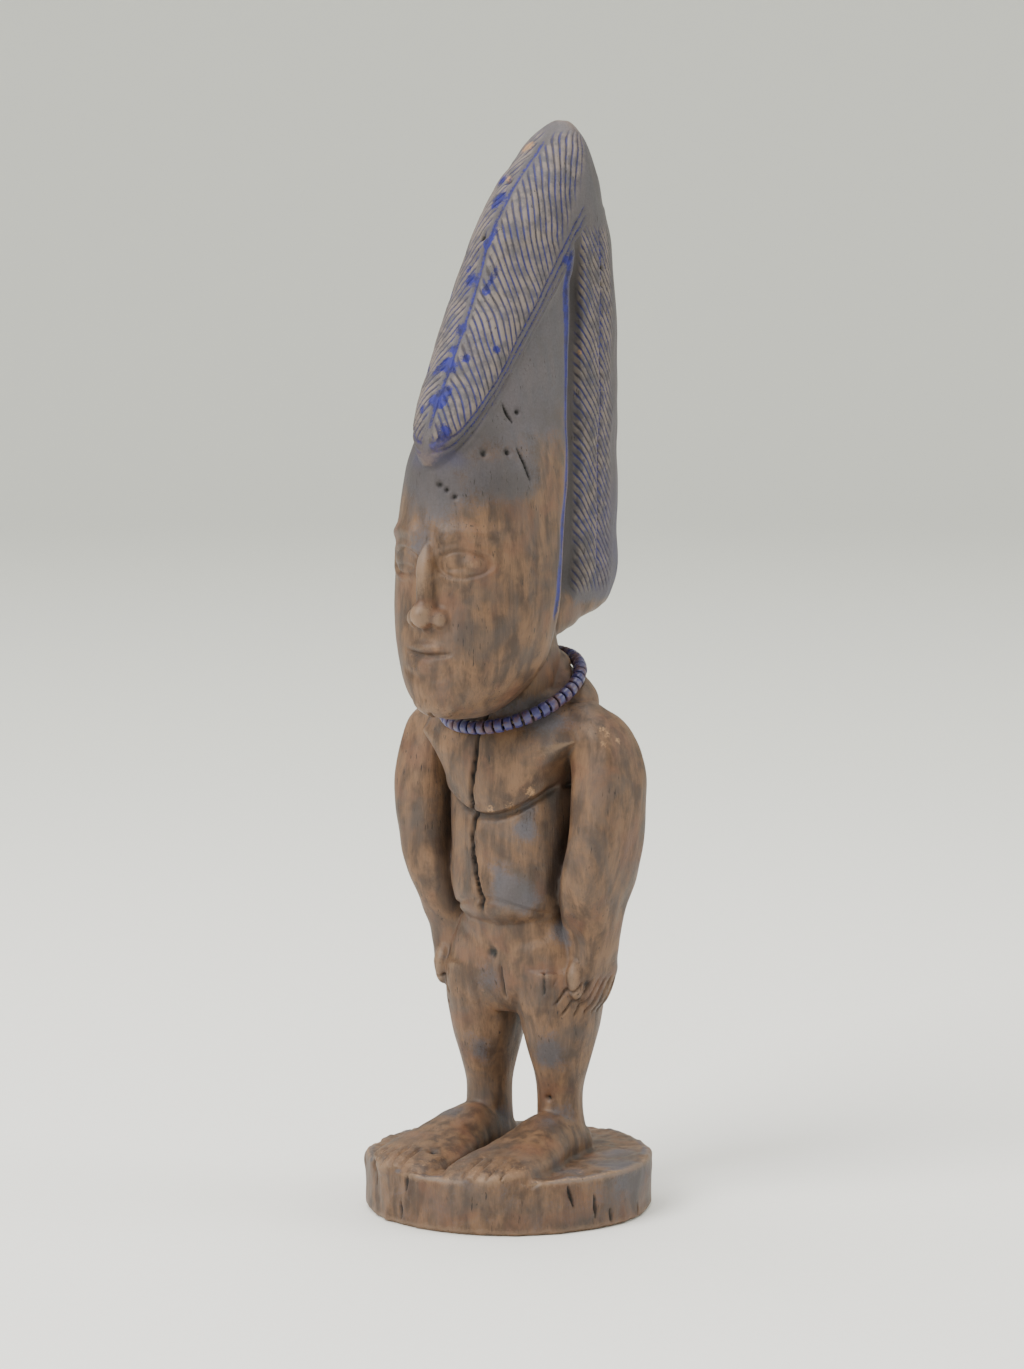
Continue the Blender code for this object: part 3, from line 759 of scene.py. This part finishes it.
chest_lip = 0.7 * ridge(z - chest_edge_z - 0.9, 0.8) * trunk_front * step(X, 20, 17) - 0.9 * chest_shadow
belly_crease = -0.7 * ridge(z - 80.6 + 0.022 * X ** 2, 0.8) * trunk_front * step(X, 17, 13)
loins = -0.5 * ridge(z - 66.5 - 0.35 * X, 1.6) * step(y, -1, -3) * step(X, 3, 6) * step(X, 16, 13)
print("fingers and toes:", int((fingers > 0.5).sum()), int((toes > 0.5).sum()), "points")

# %% [markdown]
# ### Age
# The block has split along its grain from the throat to the belly. Beetles and knots have left pits,
# the forehead and the base have short cracks, and the base's rim is worn and chipped.

# %% Cracks and pits
def crack(points, route, width):
    """1 on a thin line through the route's points, falling off over its width, which tapers at the ends."""
    best = np.zeros(len(points))
    route = [np.array(p, float) for p in route]
    for number, (a, b) in enumerate(zip(route, route[1:])):
        along = np.clip(((points - a) @ (b - a)) / ((b - a) @ (b - a)), 0, 1)
        off = np.linalg.norm(points - (a + along[:, None] * (b - a)), axis=1)
        share = (number + along) / (len(route) - 1)
        taper = width * (0.35 + 0.65 * np.sin(np.pi * np.clip(share, 0, 1)))
        best = np.maximum(best, np.clip(1.25 - off / taper, 0, 1))
    return best


BIG_SPLIT = ((76, -0.9), (81.5, -1.1), (86, -2.9), (95, -4.3), (100, -3.9), (111, -3.0), (118, -2.3),
             (123, -1.5), (128, -0.6), (131, -0.3))   # height and x
SMALL_SPLITS = (
    ((-0.4, -24, 131), (-0.8, -33, 130), (-0.7, -35.5, 134)),
    ((15.0, -18.5, 196.5), (16.5, -17.4, 192.5), (17.6, -16.5, 187.7)),
    ((11.2, -19.5, 208.0), (12.3, -18.8, 204.5), (13.3, -17.7, 202.0)),
    ((1.4, -6.4, 64.0), (1.6, -5.0, 58.0), (1.4, -3.4, 53.5)),
    ((13.8, -4.2, 62.7), (13.9, -4.4, 56.3)),
    ((-20, -30.8, 13.9), (-20.1, -31.4, 7)),
    ((-6.4, -36.2, 13.5), (-7.0, -36.3, 8.5)), ((-8.6, -35.8, 6), (-8.8, -35.8, 1.5)),
    ((31.1, -19.5, 12), (32, -18, 6.5)), ((34.6, -12.4, 9), (34.8, -12, 3)),
    ((35.9, -7.5, 5), (36, -7, 1)), ((36.4, 4, 4), (36.4, 4.4, 0.5)),
)
PITS = (  # centre and radius
    (-2.8, 4.2, 260.8, 0.9), (-2.2, -8.3, 247.2, 1.0), (10.9, -26.8, 195.2, 1.0),
    (14.1, -21.1, 195.2, 0.9), (13.4, -15.8, 204.8, 0.8), (3.0, -34.5, 187.5, 0.8),
    (6.7, -33.4, 184.6, 0.7), (4.9, -34.2, 186.3, 0.6), (-0.9, -6.4, 66.0, 1.7), (22.5, 1.7, 59.4, 1.3),
    (-8.4, -14.7, 22.4, 0.8), (-7.0, -17.6, 20.8, 0.7), (-5.8, -25.6, 18.0, 1.2),
    (-9.5, -26.1, 19.4, 0.8), (11.9, -32.6, 17.5, 0.9), (10.8, -28.6, 18.9, 0.7),
    (18.7, -9.8, 22.6, 0.8), (11.6, 1.2, 28.5, 0.7), (12.6, 24.0, 239, 0.7), (12.6, 23.6, 235, 0.6),
    (-14, -20, 196, 0.8), (-12, -24, 201, 0.9), (-17.5, -14, 190, 0.7), (6, 30, 116, 0.9),
    (-9, 18, 98, 0.8),
)
split_off = np.abs(x - curve(z, BIG_SPLIT) - 0.15 * wander(place_mm, 5, 30))
big_split = step(split_off, 0.85, 0.25) * step(y, 0, -4) * step(z, 76, 79) * step(z, 131, 129)
small_splits = np.max([crack(place_mm, route, 0.55) for route in SMALL_SPLITS], axis=0)
pits = np.max([near(place_mm, spot[:3], spot[3]) for spot in PITS], axis=0)
print("split points:", int((big_split > 0.4).sum()), "small:", int((small_splits > 0.4).sum()))

# %% Worn base and tool marks
rim_out = np.hypot(x, y) - BASE_RADIUS / MM
on_base = step(z, 14.6, 13.6)
rim = on_base * step(rim_out, -3.5, -0.5)
rim_wear = rim * (0.14 * wander(place_mm, 12, 31) + 0.10 * wander(place_mm, 4, 32) - 0.10)
rim_chips = -0.6 * rim * step(wander(place_mm, 7, 33), 0.95, 1.5) * step(z, 9.5, 12.5)
top_strokes = 0.22 * wander(place_mm, 7, 34) + 0.12 * wander(place_mm, 2.6, 35)
base_top = step(out[:, 2], 0.7, 0.95) * on_base * top_strokes
strokes = wander(place_mm * (1, 1, 0.35), 4.2, 36)
facets = 0.09 * strokes + 0.14 * wander(place_mm * (1, 1, 0.6), 10, 37)
facets *= 1 - 0.75 * facing
print("rim wear up to", round(float(np.abs(rim_wear).max()), 2), "mm")

# %% [markdown]
# ### Cutting
# All cuts and swellings are added up and the points are moved. Under the string the beads have worn a track,
# so points inside a ring a little wider than the beads are pushed out of it.

# %% Move the points
turn_joint = next(j for j in frame["joints"] if j["child"] == "string")
STRING_CENTRE = Vector(turn_joint["pos_m"])
STRING_AXIS = Vector(turn_joint["axis"]).normalized()
bead_joints = {j["child"]: j for j in frame["joints"] if j["child"].startswith("bead_")}
to_beads = [(Vector(j["pos_m"]) - STRING_CENTRE).length for j in bead_joints.values()]
NECKLACE_RADIUS = sum(to_beads) / len(to_beads)
BEAD_RADIUS = max((Vector(v.co) - Vector(bead_joints["bead_01"]["pos_m"])).cross(
    Vector(bead_joints["bead_01"]["axis"])).length for v in frame["nodes"]["bead_01"].data.vertices)
TRACK_CLEARANCE = 0.4 * MM


def clear_of_ring(points):
    """Pushes points out of the ring that the beads fill."""
    centre, axis = np.array(STRING_CENTRE), np.array(STRING_AXIS)
    off = points - centre
    level = off @ axis
    flat = off - level[:, None] * axis
    reach = np.linalg.norm(flat, axis=1)
    on_circle = centre + flat / np.maximum(reach, 1e-9)[:, None] * NECKLACE_RADIUS
    away = points - on_circle
    distance = np.linalg.norm(away, axis=1)
    wanted = BEAD_RADIUS + TRACK_CLEARANCE
    inside = distance < wanted
    points[inside] = on_circle[inside] + away[inside] / distance[inside][:, None] * wanted
    return int(inside.sum())


depth = (-0.40 * groove(front_phase, 0.50) * on_barbs - 0.65 * middle_cut - 0.5 * border_cuts
         + 0.45 * step(border, -6.4, -5.2) * step(y, 12, 8) * step(z, 193, 197)
         - 0.36 * groove(rear_phase, 0.40) * on_rear - 0.45 * upright_cut - 0.3 * nape_cut
         - 0.40 * temple_cut - 1.5 * channel - 1.2 * notch
         + face_cuts - 0.85 * fingers + knuckles - 0.9 * toes + chest_lip + belly_crease + loins
         - 1.7 * big_split - 0.9 * small_splits - 1.1 * pits
         + rim_wear + rim_chips + base_top + facets)
carved = place_mm + out * depth[:, None]
carved[:, 2] = np.where(place_mm[:, 2] < 0.25, 0.0, np.maximum(carved[:, 2], 0.0))
carved[:, 2] *= TALL
carved *= MM
pushed = clear_of_ring(carved)
figure.data.vertices.foreach_set("co", carved.astype(np.float32).ravel())
figure.data.update()
print("ring radius mm", round(NECKLACE_RADIUS / MM, 2), "bead radius", round(BEAD_RADIUS / MM, 2),
      "points pushed clear", pushed)

# %% [markdown]
# ## Where each finish goes
# The finish follows the carving, so the same measures are written on the skin as attributes, three values in
# each: the numbers of the two fans of cuts and the border's distance, the masks that switch them on, and the
# amounts of blue pigment, grey film, bare wood and darkness, which is dirt and, in deep recesses, painted
# shade. The material reads them and draws fine detail.

# %% Pigment, film, bare wood, dirt and painted shade
BLUE_SPOTS = (  # centre and radius
    (-2.5, 0.2, 256.5, 2.6), (-1.9, -13.1, 236.7, 2.3), (-0.3, -20.1, 224.8, 1.9),
    (-0.4, -23.0, 220.0, 1.5), (0.6, -25.8, 215.5, 2.1), (1.7, -29.1, 210.3, 1.6),
    (-0.8, -31.1, 207.6, 1.8), (3.9, -33.8, 200.8, 1.9), (3.6, -23.7, 218.0, 1.5),
    (9.0, -18.8, 220.1, 1.2), (2.0, -35.5, 197.0, 1.5), (13.1, 5.9, 241.6, 1.7),
    (13.1, 6.3, 235.4, 1.6), (-8, -22, 214, 2.2), (-11, -8, 232, 2.0), (-6, 6, 261, 2.0),
)
GREY_SPOTS = (
    (8, 0, 127, 9), (-8, -2, 126, 8), (14, -4, 124, 6), (6, -10, 84, 5), (10, -8.5, 82, 4.5),
    (16.5, 1.5, 72, 3.6), (18, 2, 70, 3.0), (15.5, -4, 25, 4.5), (14, 3, 24, 5), (-6, 6, 20, 5),
    (-14, -6, 22, 5), (26, 12, 14, 8), (32, 2, 13.5, 10), (26, -12, 14, 6), (-22, 10, 14, 9),
    (0, 22, 14, 9), (17, -8.5, 108, 4), (12, -9, 104, 3.5), (-20, 8, 124, 8), (0, 20, 112, 9),
    (-2, -3, 60, 4), (14, -3, 40, 5), (-8, -3, 38, 4), (-16, 16, 60, 7), (10, -8, 99, 3.5),
)
BARE_SPOTS = (
    (-4.0, 14.5, 269.5, 2.6), (28.5, -0.9, 124.8, 1.3), (29.7, -0.4, 123.4, 1.6),
    (30.0, -1.8, 121.3, 1.5), (31.8, 1.5, 122.0, 1.2), (8, -11, 104, 2.6), (13, -9, 108.5, 2.2),
    (2, -11.5, 103.5, 2.0), (24, 2, 72, 2.5), (-4, 5, 262, 1.6), (11.5, 15, 218, 0.9),
)


def spots(rows, scale=1.0):
    return np.max([near(place_mm, row[:3], row[3] * scale) for row in rows], axis=0)


crest = step(z, 190, 197) * step(border, -3, -1)
underside = step(out[:, 2], -0.3, -0.7) * step(z, 164, 158)
hair = np.maximum(crest, step(y, BAND_FRONT - 1, BAND_FRONT + 1) * step(z, 150, 156) * (1 - underside))
head_film = step(z + 6 * wander(place_mm, 16, 43) - 0.45 * (y + 20), 164, 204)
soot = step(z, 178, 188) * step(z, 206, 196) * step(y, -16, -26)
# Painted shade in the gap between the trunk and each arm, where the arm keeps light off.
painted_shade_by_arm = step(X, 12.5, 16) * step(X, 20.5, 18.5) * step(z, 72, 77) * step(z, 117, 111) * step(y, -10, -6)
base_side = on_base * step(rim_out, -2.0, -0.8) * step(out[:, 2], 0.8, 0.5)
rim_band = on_base * step(rim_out, -3.2, -1.6) * step(out[:, 2], 0.25, 0.6)
rim_band *= step(wander(place_mm, 14, 38), -0.8, 0.4)
front_blotch = step(wander(place_mm, 6.5, 41), 0.55, 1.1) * step(X, 6.5, 3.0) * crest * step(z, 262, 250)
blue_haze = (0.5 * ridge(temple_off + 0.5, 3.0) * step(z, 150, 165) * step(X, 8, 10) * step(border, -3, -6)
             + 0.35 * step(z, 205, 165) * hair * step(y, 18, 26)
             + 0.5 * ridge(z - 194, 3) * step(y, -28, -33))
blue_line = np.maximum.reduce([middle_cut, border_cuts * 0.9, temple_cut * 1.5, upright_cut * 0.8])
blue = np.clip(np.maximum(blue_line, 1.3 * spots(BLUE_SPOTS)) + front_blotch, 0, 1.4)
grey = np.clip(np.maximum(0.9 * hair, 0.9 * head_film) + 0.9 * channel + 0.7 * spots(GREY_SPOTS)
               + 0.3 * step(z, 119, 127) * step(z, 134, 131) + 0.35 * base_side + 0.8 * rim_band
               + 0.22 * step(X, 22, 17) * step(z, 30, 40) * step(z, 112, 100), 0, 1)
# Upward-facing skin low down at the front, on the feet and the base's top, is made paler.
paler_low_front_tops = step(z, 26, 15) * step(out[:, 2], 0.35, 0.9) * step(y, 10, -6)
bare = np.clip(0.9 * spots(BARE_SPOTS) + 0.25 * step(standing, 0.35, 0.9) + 0.42 * paler_low_front_tops, 0, 1)
dark = np.clip(1.3 * step(big_split, 0.15, 0.7) + 1.2 * step(small_splits, 0.3, 0.8)
               + 1.2 * step(pits, 0.35, 0.8), 0, 1)
# Dirt in hollows and a darker band over the forehead, with painted shade in the channel, the notch, the gap
# by each arm, under the chest's edge and between the fingers.
dirt_and_painted_shade = np.clip(step(standing, -0.15, -1.1) + channel + 1.3 * notch + painted_shade_by_arm + 0.9 * chest_shadow
                 + 0.6 * fingers + 0.55 * soot, 0, 1)


def write_attribute(mesh, name, *columns):
    layer = mesh.attributes.new(name, "FLOAT_VECTOR", "POINT")
    layer.data.foreach_set("vector", np.stack(columns, axis=1).astype(np.float32).ravel())


write_attribute(figure.data, "cut_number", front_phase, rear_phase, border)
write_attribute(figure.data, "cut_mask", on_barbs, on_rear, blue_haze)
write_attribute(figure.data, "finish_mask", blue, grey, bare)
write_attribute(figure.data, "dirt_mask", dark, dirt_and_painted_shade, np.clip(standing / 2 + 0.5, 0, 1))
print("attributes:", [a.name for a in figure.data.attributes if a.name.endswith(("mask", "number"))])

# %% [markdown]
# The skin has far more points than it needs on its plain parts. Decimation removes those first and keeps
# the cuts, down to a piece of a handy size; the attributes are carried along.

# %% Thin the skin
MOST_TRIANGLES = 190_000


def thin(obj):
    faces = sum(len(p.vertices) - 2 for p in obj.data.polygons)
    simplify = obj.modifiers.new("thin", "DECIMATE")
    simplify.ratio = min(1.0, MOST_TRIANGLES / faces)
    simplify.use_collapse_triangulate = True
    mesh = evaluated_copy(obj, "carved_wood")
    obj.modifiers.clear()
    obj.data = mesh
    mesh.shade_smooth()
    return faces, len(mesh.polygons)


print("triangles before and after:", thin(figure))

# %% [markdown]
# ## The wood's finish
# The colour is built in layers, in the order in which the real surface got them: brown wood with its grain,
# a grey film from handling, blue pigment rubbed into the hair, bare wood where edges and chips have lost
# all that, and dirt in hollows and cracks. The same dark layer is painted shade in the deep recesses: the
# channel, the notch, the gap by each arm, under the chest's edge and between the fingers.

# %% Wood
def wood_material():
    material, tree, shader = new_material("old_wood")
    link = tree.links.new
    mm = millimetres(tree)
    fibres = millimetres(tree, (1, 1, 0.07))

    def attribute(name):
        made = node(tree, "Attribute", attribute_name=name)
        return node(tree, "SeparateXYZ", {0: made.outputs["Vector"]}).outputs

    front_number, rear_number, _ = attribute("cut_number")
    front_mask, rear_mask, haze = attribute("cut_mask")
    blue_mask, grey_mask, bare_mask = attribute("finish_mask")
    dark_mask, dirt_and_painted_shade_mask, edge_mask = attribute("dirt_mask")

    # Grain: long fibres, and slow bands of lighter and darker growth.
    fine = noise(tree, fibres, 0.35, 4, 0.6)
    broad = noise(tree, millimetres(tree, (1, 1, 0.25)), 3.2, 4, 0.6, 0.4)
    mottle = noise(tree, mm, 7.0, 4, 0.6, 0.5)
    speck = noise(tree, mm, 0.6, 3, 0.65)
    bands = plus(tree, times(tree, broad, 0.6), times(tree, mottle, 0.4))
    growth = ramp(tree, bands, 0.38, 0.62)
    brown = mix(tree, growth, rgb(62, 45, 33), rgb(110, 82, 58))
    brown = mix(tree, times(tree, ramp(tree, fine, 0.40, 0.72), 0.20), brown, rgb(60, 44, 35))
    red_patch = ramp(tree, noise(tree, mm, 11, 3, 0.5, 0.6), 0.50, 0.68)
    brown = mix(tree, times(tree, red_patch, 0.45), brown, rgb(102, 67, 48))

    # The grey film lies in ragged patches.
    ragged = plus(tree, grey_mask, about(tree, mottle, 0.5, 0.9))
    ragged = plus(tree, ragged, about(tree, speck, 0.5, 0.5))
    film = ramp(tree, ragged, 0.30, 0.78)
    grey = mix(tree, speck, rgb(56, 55, 60), rgb(86, 84, 90))
    colour = mix(tree, times(tree, film, 0.88), brown, grey)
    loose = ramp(tree, plus(tree, noise(tree, mm, 16, 5, 0.65, 0.8), times(tree, fine, 0.15)),
                 0.52, 0.74)
    colour = mix(tree, times(tree, loose, 0.5), colour, rgb(66, 60, 57))

    # Fine cuts: dark and blue at the bottom, worn pale wood on the crests between them.
    def cut(number, share):
        off = calc(tree, "ABSOLUTE", calc(tree, "SUBTRACT", number, calc(tree, "ROUND", number)))
        return ramp(tree, off, share / 2, 0.04)

    barbs = calc(tree, "MAXIMUM", times(tree, cut(front_number, 0.5), front_mask),
                 times(tree, cut(rear_number, 0.5), rear_mask))
    fan = calc(tree, "MAXIMUM", front_mask, rear_mask)
    crests = times(tree, fan, calc(tree, "SUBTRACT", 1.0, barbs))
    worn = times(tree, crests, ramp(tree, noise(tree, mm, 4.0, 3, 0.6), 0.38, 0.62))
    colour = mix(tree, times(tree, worn, 0.75), colour, rgb(116, 104, 96))
    blue_patch = ramp(tree, noise(tree, mm, 5.0, 3, 0.6), 0.30, 0.62)
    in_cuts = times(tree, barbs, plus(tree, times(tree, blue_patch, 0.45), 0.45))
    colour = mix(tree, in_cuts, colour, mix(tree, blue_patch, rgb(36, 35, 43), rgb(42, 44, 98)))

    # Blue pigment: bright where it is thick.
    thick = plus(tree, blue_mask, about(tree, speck, 0.58, 1.5))
    hazy = ramp(tree, plus(tree, haze, about(tree, mottle, 0.5, 0.6)), 0.05, 0.75)
    colour = mix(tree, times(tree, hazy, 0.6), colour, rgb(52, 54, 94))
    pale = ramp(tree, noise(tree, mm, 2.2, 3, 0.6), 0.35, 0.65)
    pigment = mix(tree, pale, rgb(9, 9, 66), rgb(17, 19, 108))
    colour = mix(tree, ramp(tree, thick, 0.30, 0.85), colour, pigment)

    # Bare wood on chips and rubbed edges.
    rubbed = plus(tree, bare_mask, about(tree, speck, 0.5, 1.1))
    bare = mix(tree, fine, rgb(138, 102, 68), rgb(166, 130, 92))
    colour = mix(tree, ramp(tree, rubbed, 0.42, 0.80, 0, 0.85), colour, bare)
    edge = plus(tree, edge_mask, about(tree, speck, 0.5, 0.25))
    colour = mix(tree, ramp(tree, edge, 0.62, 0.85, 0, 0.40), colour, rgb(138, 112, 88))

    # Dirt in hollows, painted shade in the deep recesses, and black in cracks, pits and pores.
    colour = mix(tree, times(tree, dirt_and_painted_shade_mask, 0.62), colour, rgb(34, 27, 25))
    split = ramp(tree, noise(tree, millimetres(tree, (1, 1, 0.16)), 0.6, 2, 0.6), 0.63, 0.70)
    pores = times(tree, split, ramp(tree, noise(tree, mm, 9.0, 3, 0.6), 0.46, 0.60, 0.15, 0.9))
    colour = mix(tree, pores, colour, rgb(34, 27, 24))
    colour = mix(tree, times(tree, dark_mask, 0.97), colour, rgb(14, 11, 10))
    link(colour, shader.inputs["Base Color"])

    gloss = plus(tree, times(tree, mottle, 0.25), times(tree, film, 0.10))
    link(calc(tree, "ADD", plus(tree, gloss, 0.42), times(tree, barbs, 0.15), clamp=True),
         shader.inputs["Roughness"])
    shader.inputs["Specular IOR Level"].default_value = 0.42

    relief = plus(tree, times(tree, fine, 0.5), times(tree, speck, 0.35))
    relief = calc(tree, "SUBTRACT", relief, times(tree, barbs, 0.9))
    relief = calc(tree, "SUBTRACT", relief, times(tree, pores, 0.6))
    bump = node(tree, "Bump", {"Height": relief, "Strength": 0.55, "Distance": 0.25 * MM})
    link(bump.outputs["Normal"], shader.inputs["Normal"])
    return material


figure.data.materials.clear()
figure.data.materials.append(wood_material())
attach(figure, "figure")
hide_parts("carved_figure")
print("figure:", len(figure.data.polygons), "triangles")

# %% [markdown]
# ## Thread and beads
# The thread is two thin plies twisted round each other: one closed bar, spun round the string's centre. Its
# section is swollen on two sides and turned a little from ring to ring. It is tied at the nape.

# %% Thread
THREAD_RADIUS = 0.5 * MM
TWISTS = 64


def string_place():
    """The string's own frame: its circle lies in local XY, with local +Y through the knot."""
    ends = ("bead_01", f"bead_{len(bead_joints):02d}")
    first, last = (Vector(bead_joints[name]["pos_m"]) for name in ends)
    to_knot = ((first + last) / 2 - STRING_CENTRE)
    to_knot = (to_knot - STRING_AXIS * to_knot.dot(STRING_AXIS)).normalized()
    sideways = to_knot.cross(STRING_AXIS)
    turn = Matrix((sideways, to_knot, STRING_AXIS)).transposed().to_4x4()
    return Matrix.Translation(STRING_CENTRE) @ turn


def round_bar(bm, ring_radius, bar_radius, rings, points, angle=2 * math.pi):
    """A bar of round section bent about local Z, closed when the angle is a full turn."""
    turn = Matrix.Translation((ring_radius, 0, 0)) @ Matrix.Rotation(math.pi / 2, 4, "X")
    made = bmesh.ops.create_circle(bm, segments=points, radius=bar_radius, matrix=turn, cap_ends=angle < 6)
    edges = list({e for v in made["verts"] for e in v.link_edges})
    faces = list({f for v in made["verts"] for f in v.link_faces})
    bmesh.ops.spin(bm, geom=made["verts"] + edges + faces, cent=(0, 0, 0), axis=(0, 0, 1), angle=angle,
                   steps=rings, use_merge=angle > 6)


def make_thread():
    bm = bmesh.new()
    round_bar(bm, NECKLACE_RADIUS, THREAD_RADIUS, 480, 10)
    for vert in bm.verts:
        around = math.atan2(vert.co.y, vert.co.x)
        reach = math.hypot(vert.co.x, vert.co.y)
        section = math.atan2(vert.co.z, reach - NECKLACE_RADIUS)
        ply = 0.80 + 0.20 * math.cos(2 * section - TWISTS * around)
        radius = NECKLACE_RADIUS + THREAD_RADIUS * ply * math.cos(section)
        vert.co = Vector((radius * math.cos(around), radius * math.sin(around),
                          THREAD_RADIUS * ply * math.sin(section)))
    knot = Vector((0, NECKLACE_RADIUS, 0))
    for tilt, size in ((0.5, 0.72), (-0.6, 0.66), (1.5, 0.60)):
        loop = bmesh.new()
        round_bar(loop, size * MM, 0.42 * MM, 28, 8)
        bmesh.ops.rotate(loop, verts=loop.verts, matrix=Matrix.Rotation(math.pi / 2 + tilt, 3, "Y"))
        bmesh.ops.translate(loop, verts=loop.verts, vec=knot)
        copy = bpy.data.meshes.new("loop")
        loop.to_mesh(copy)
        loop.free()
        bm.from_mesh(copy)
        bpy.data.meshes.remove(copy)
    bmesh.ops.recalc_face_normals(bm, faces=bm.faces)
    bmesh.ops.transform(bm, matrix=string_place(), verts=bm.verts)
    mesh = bpy.data.meshes.new("bead_thread")
    bm.to_mesh(mesh)
    bm.free()
    mesh.shade_smooth()
    material, tree, shader = new_material("soiled_cotton")
    mm = millimetres(tree)
    soil = ramp(tree, noise(tree, mm, 1.6, 3, 0.6), 0.35, 0.65)
    fuzz = noise(tree, mm, 0.12, 3, 0.7)
    colour = mix(tree, soil, rgb(96, 84, 70), rgb(150, 138, 118))
    tree.links.new(mix(tree, times(tree, fuzz, 0.4), colour, rgb(70, 60, 52)),
                   shader.inputs["Base Color"])
    tree.links.new(ramp(tree, fuzz, 0.3, 0.7, 0.8, 0.95), shader.inputs["Roughness"])
    bump = node(tree, "Bump", {"Height": fuzz, "Strength": 0.5, "Distance": 0.06 * MM})
    tree.links.new(bump.outputs["Normal"], shader.inputs["Normal"])
    mesh.materials.append(material)
    thread = bpy.data.objects.new("bead_thread", mesh)
    bpy.context.scene.collection.objects.link(thread)
    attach(thread, "string")
    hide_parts("necklace_thread")
    return thread


thread = make_thread()
print("thread:", len(thread.data.polygons), "faces; its loop is",
      round(2 * math.pi * NECKLACE_RADIUS / MM, 1), "mm long")

# %% [markdown]
# A glass bead is a short barrel with a bore, cut from a drawn tube, so no two are quite alike. Its outline
# is spun about the thread. The glass is opaque lavender blue, dull, and worn to a reddish brown in patches.

# %% Beads
BEAD_LENGTH = 2.0 * MM
BORE_RADIUS = 0.8 * MM
rng = np.random.default_rng(5)


def bead_glass():
    material, tree, shader = new_material("lavender_glass")
    mm = millimetres(tree)
    lot = ramp(tree, noise(tree, mm, 5.0, 1), 0.35, 0.65)
    glass = mix(tree, lot, rgb(46, 46, 94), rgb(68, 64, 100))
    streak = noise(tree, mm, 0.8, 3, 0.6, 0.6)
    glass = mix(tree, times(tree, streak, 0.35), glass, rgb(34, 36, 88))
    worn = plus(tree, times(tree, noise(tree, mm, 3.4, 2), 0.7),
                times(tree, noise(tree, mm, 0.5, 3, 0.7), 0.3))
    wear = ramp(tree, worn, 0.46, 0.57)
    tree.links.new(mix(tree, times(tree, wear, 0.75), glass, rgb(82, 55, 50)),
                   shader.inputs["Base Color"])
    tree.links.new(ramp(tree, worn, 0.40, 0.60, 0.28, 0.62), shader.inputs["Roughness"])
    shader.inputs["Coat Weight"].default_value = 0.15
    bump = node(tree, "Bump", {"Height": worn, "Strength": 0.4, "Distance": 0.12 * MM})
    tree.links.new(bump.outputs["Normal"], shader.inputs["Normal"])
    return material


def make_bead(number, joint, material):
    """One bead about local X, then set on the thread by its joint's place and axis."""
    half = BEAD_LENGTH / 2 * rng.uniform(0.95, 1.02)
    full = BEAD_RADIUS * rng.uniform(0.93, 1.0)
    ease = rng.uniform(0.28, 0.40) * (full - BORE_RADIUS)
    bm = bmesh.new()
    outline = ((-half, BORE_RADIUS), (half, BORE_RADIUS), (half, full), (-half, full))
    verts = bmesh.ops.create_circle(bm, segments=4, radius=full)["verts"]
    for vert, (along, radius) in zip(verts, outline):
        vert.co = Vector((along, 0, radius))
    edges = list({e for v in verts for e in v.link_edges})
    bmesh.ops.spin(bm, geom=verts + edges, cent=(0, 0, 0), axis=(1, 0, 0), angle=2 * math.pi, steps=28,
                   use_merge=True)
    outer = [e for e in bm.edges if all(v.co.yz.length > 0.9 * full for v in e.verts)
             and abs(e.verts[0].co.x - e.verts[1].co.x) < half]
    bmesh.ops.bevel(bm, geom=outer, offset=ease, segments=4, profile=0.5, affect="EDGES", material=-1)
    bmesh.ops.recalc_face_normals(bm, faces=bm.faces)
    axis = Vector(joint["axis"])
    turn = axis.to_track_quat("X", "Z").to_matrix().to_4x4()
    bmesh.ops.transform(bm, matrix=Matrix.Translation(joint["pos_m"]) @ turn, verts=bm.verts)
    mesh = bpy.data.meshes.new(f"glass_{number:02d}")
    bm.to_mesh(mesh)
    bm.free()
    mesh.shade_smooth()
    mesh.materials.append(material)
    bead = bpy.data.objects.new(f"glass_{number:02d}", mesh)
    bpy.context.scene.collection.objects.link(bead)
    return bead


glass = bead_glass()
for number in range(1, len(bead_joints) + 1):
    body = f"bead_{number:02d}"
    bead = make_bead(number, bead_joints[body], glass)
    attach(bead, body)
    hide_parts(body)
print("beads:", len(bead_joints), "of", len(bead.data.polygons), "faces each")
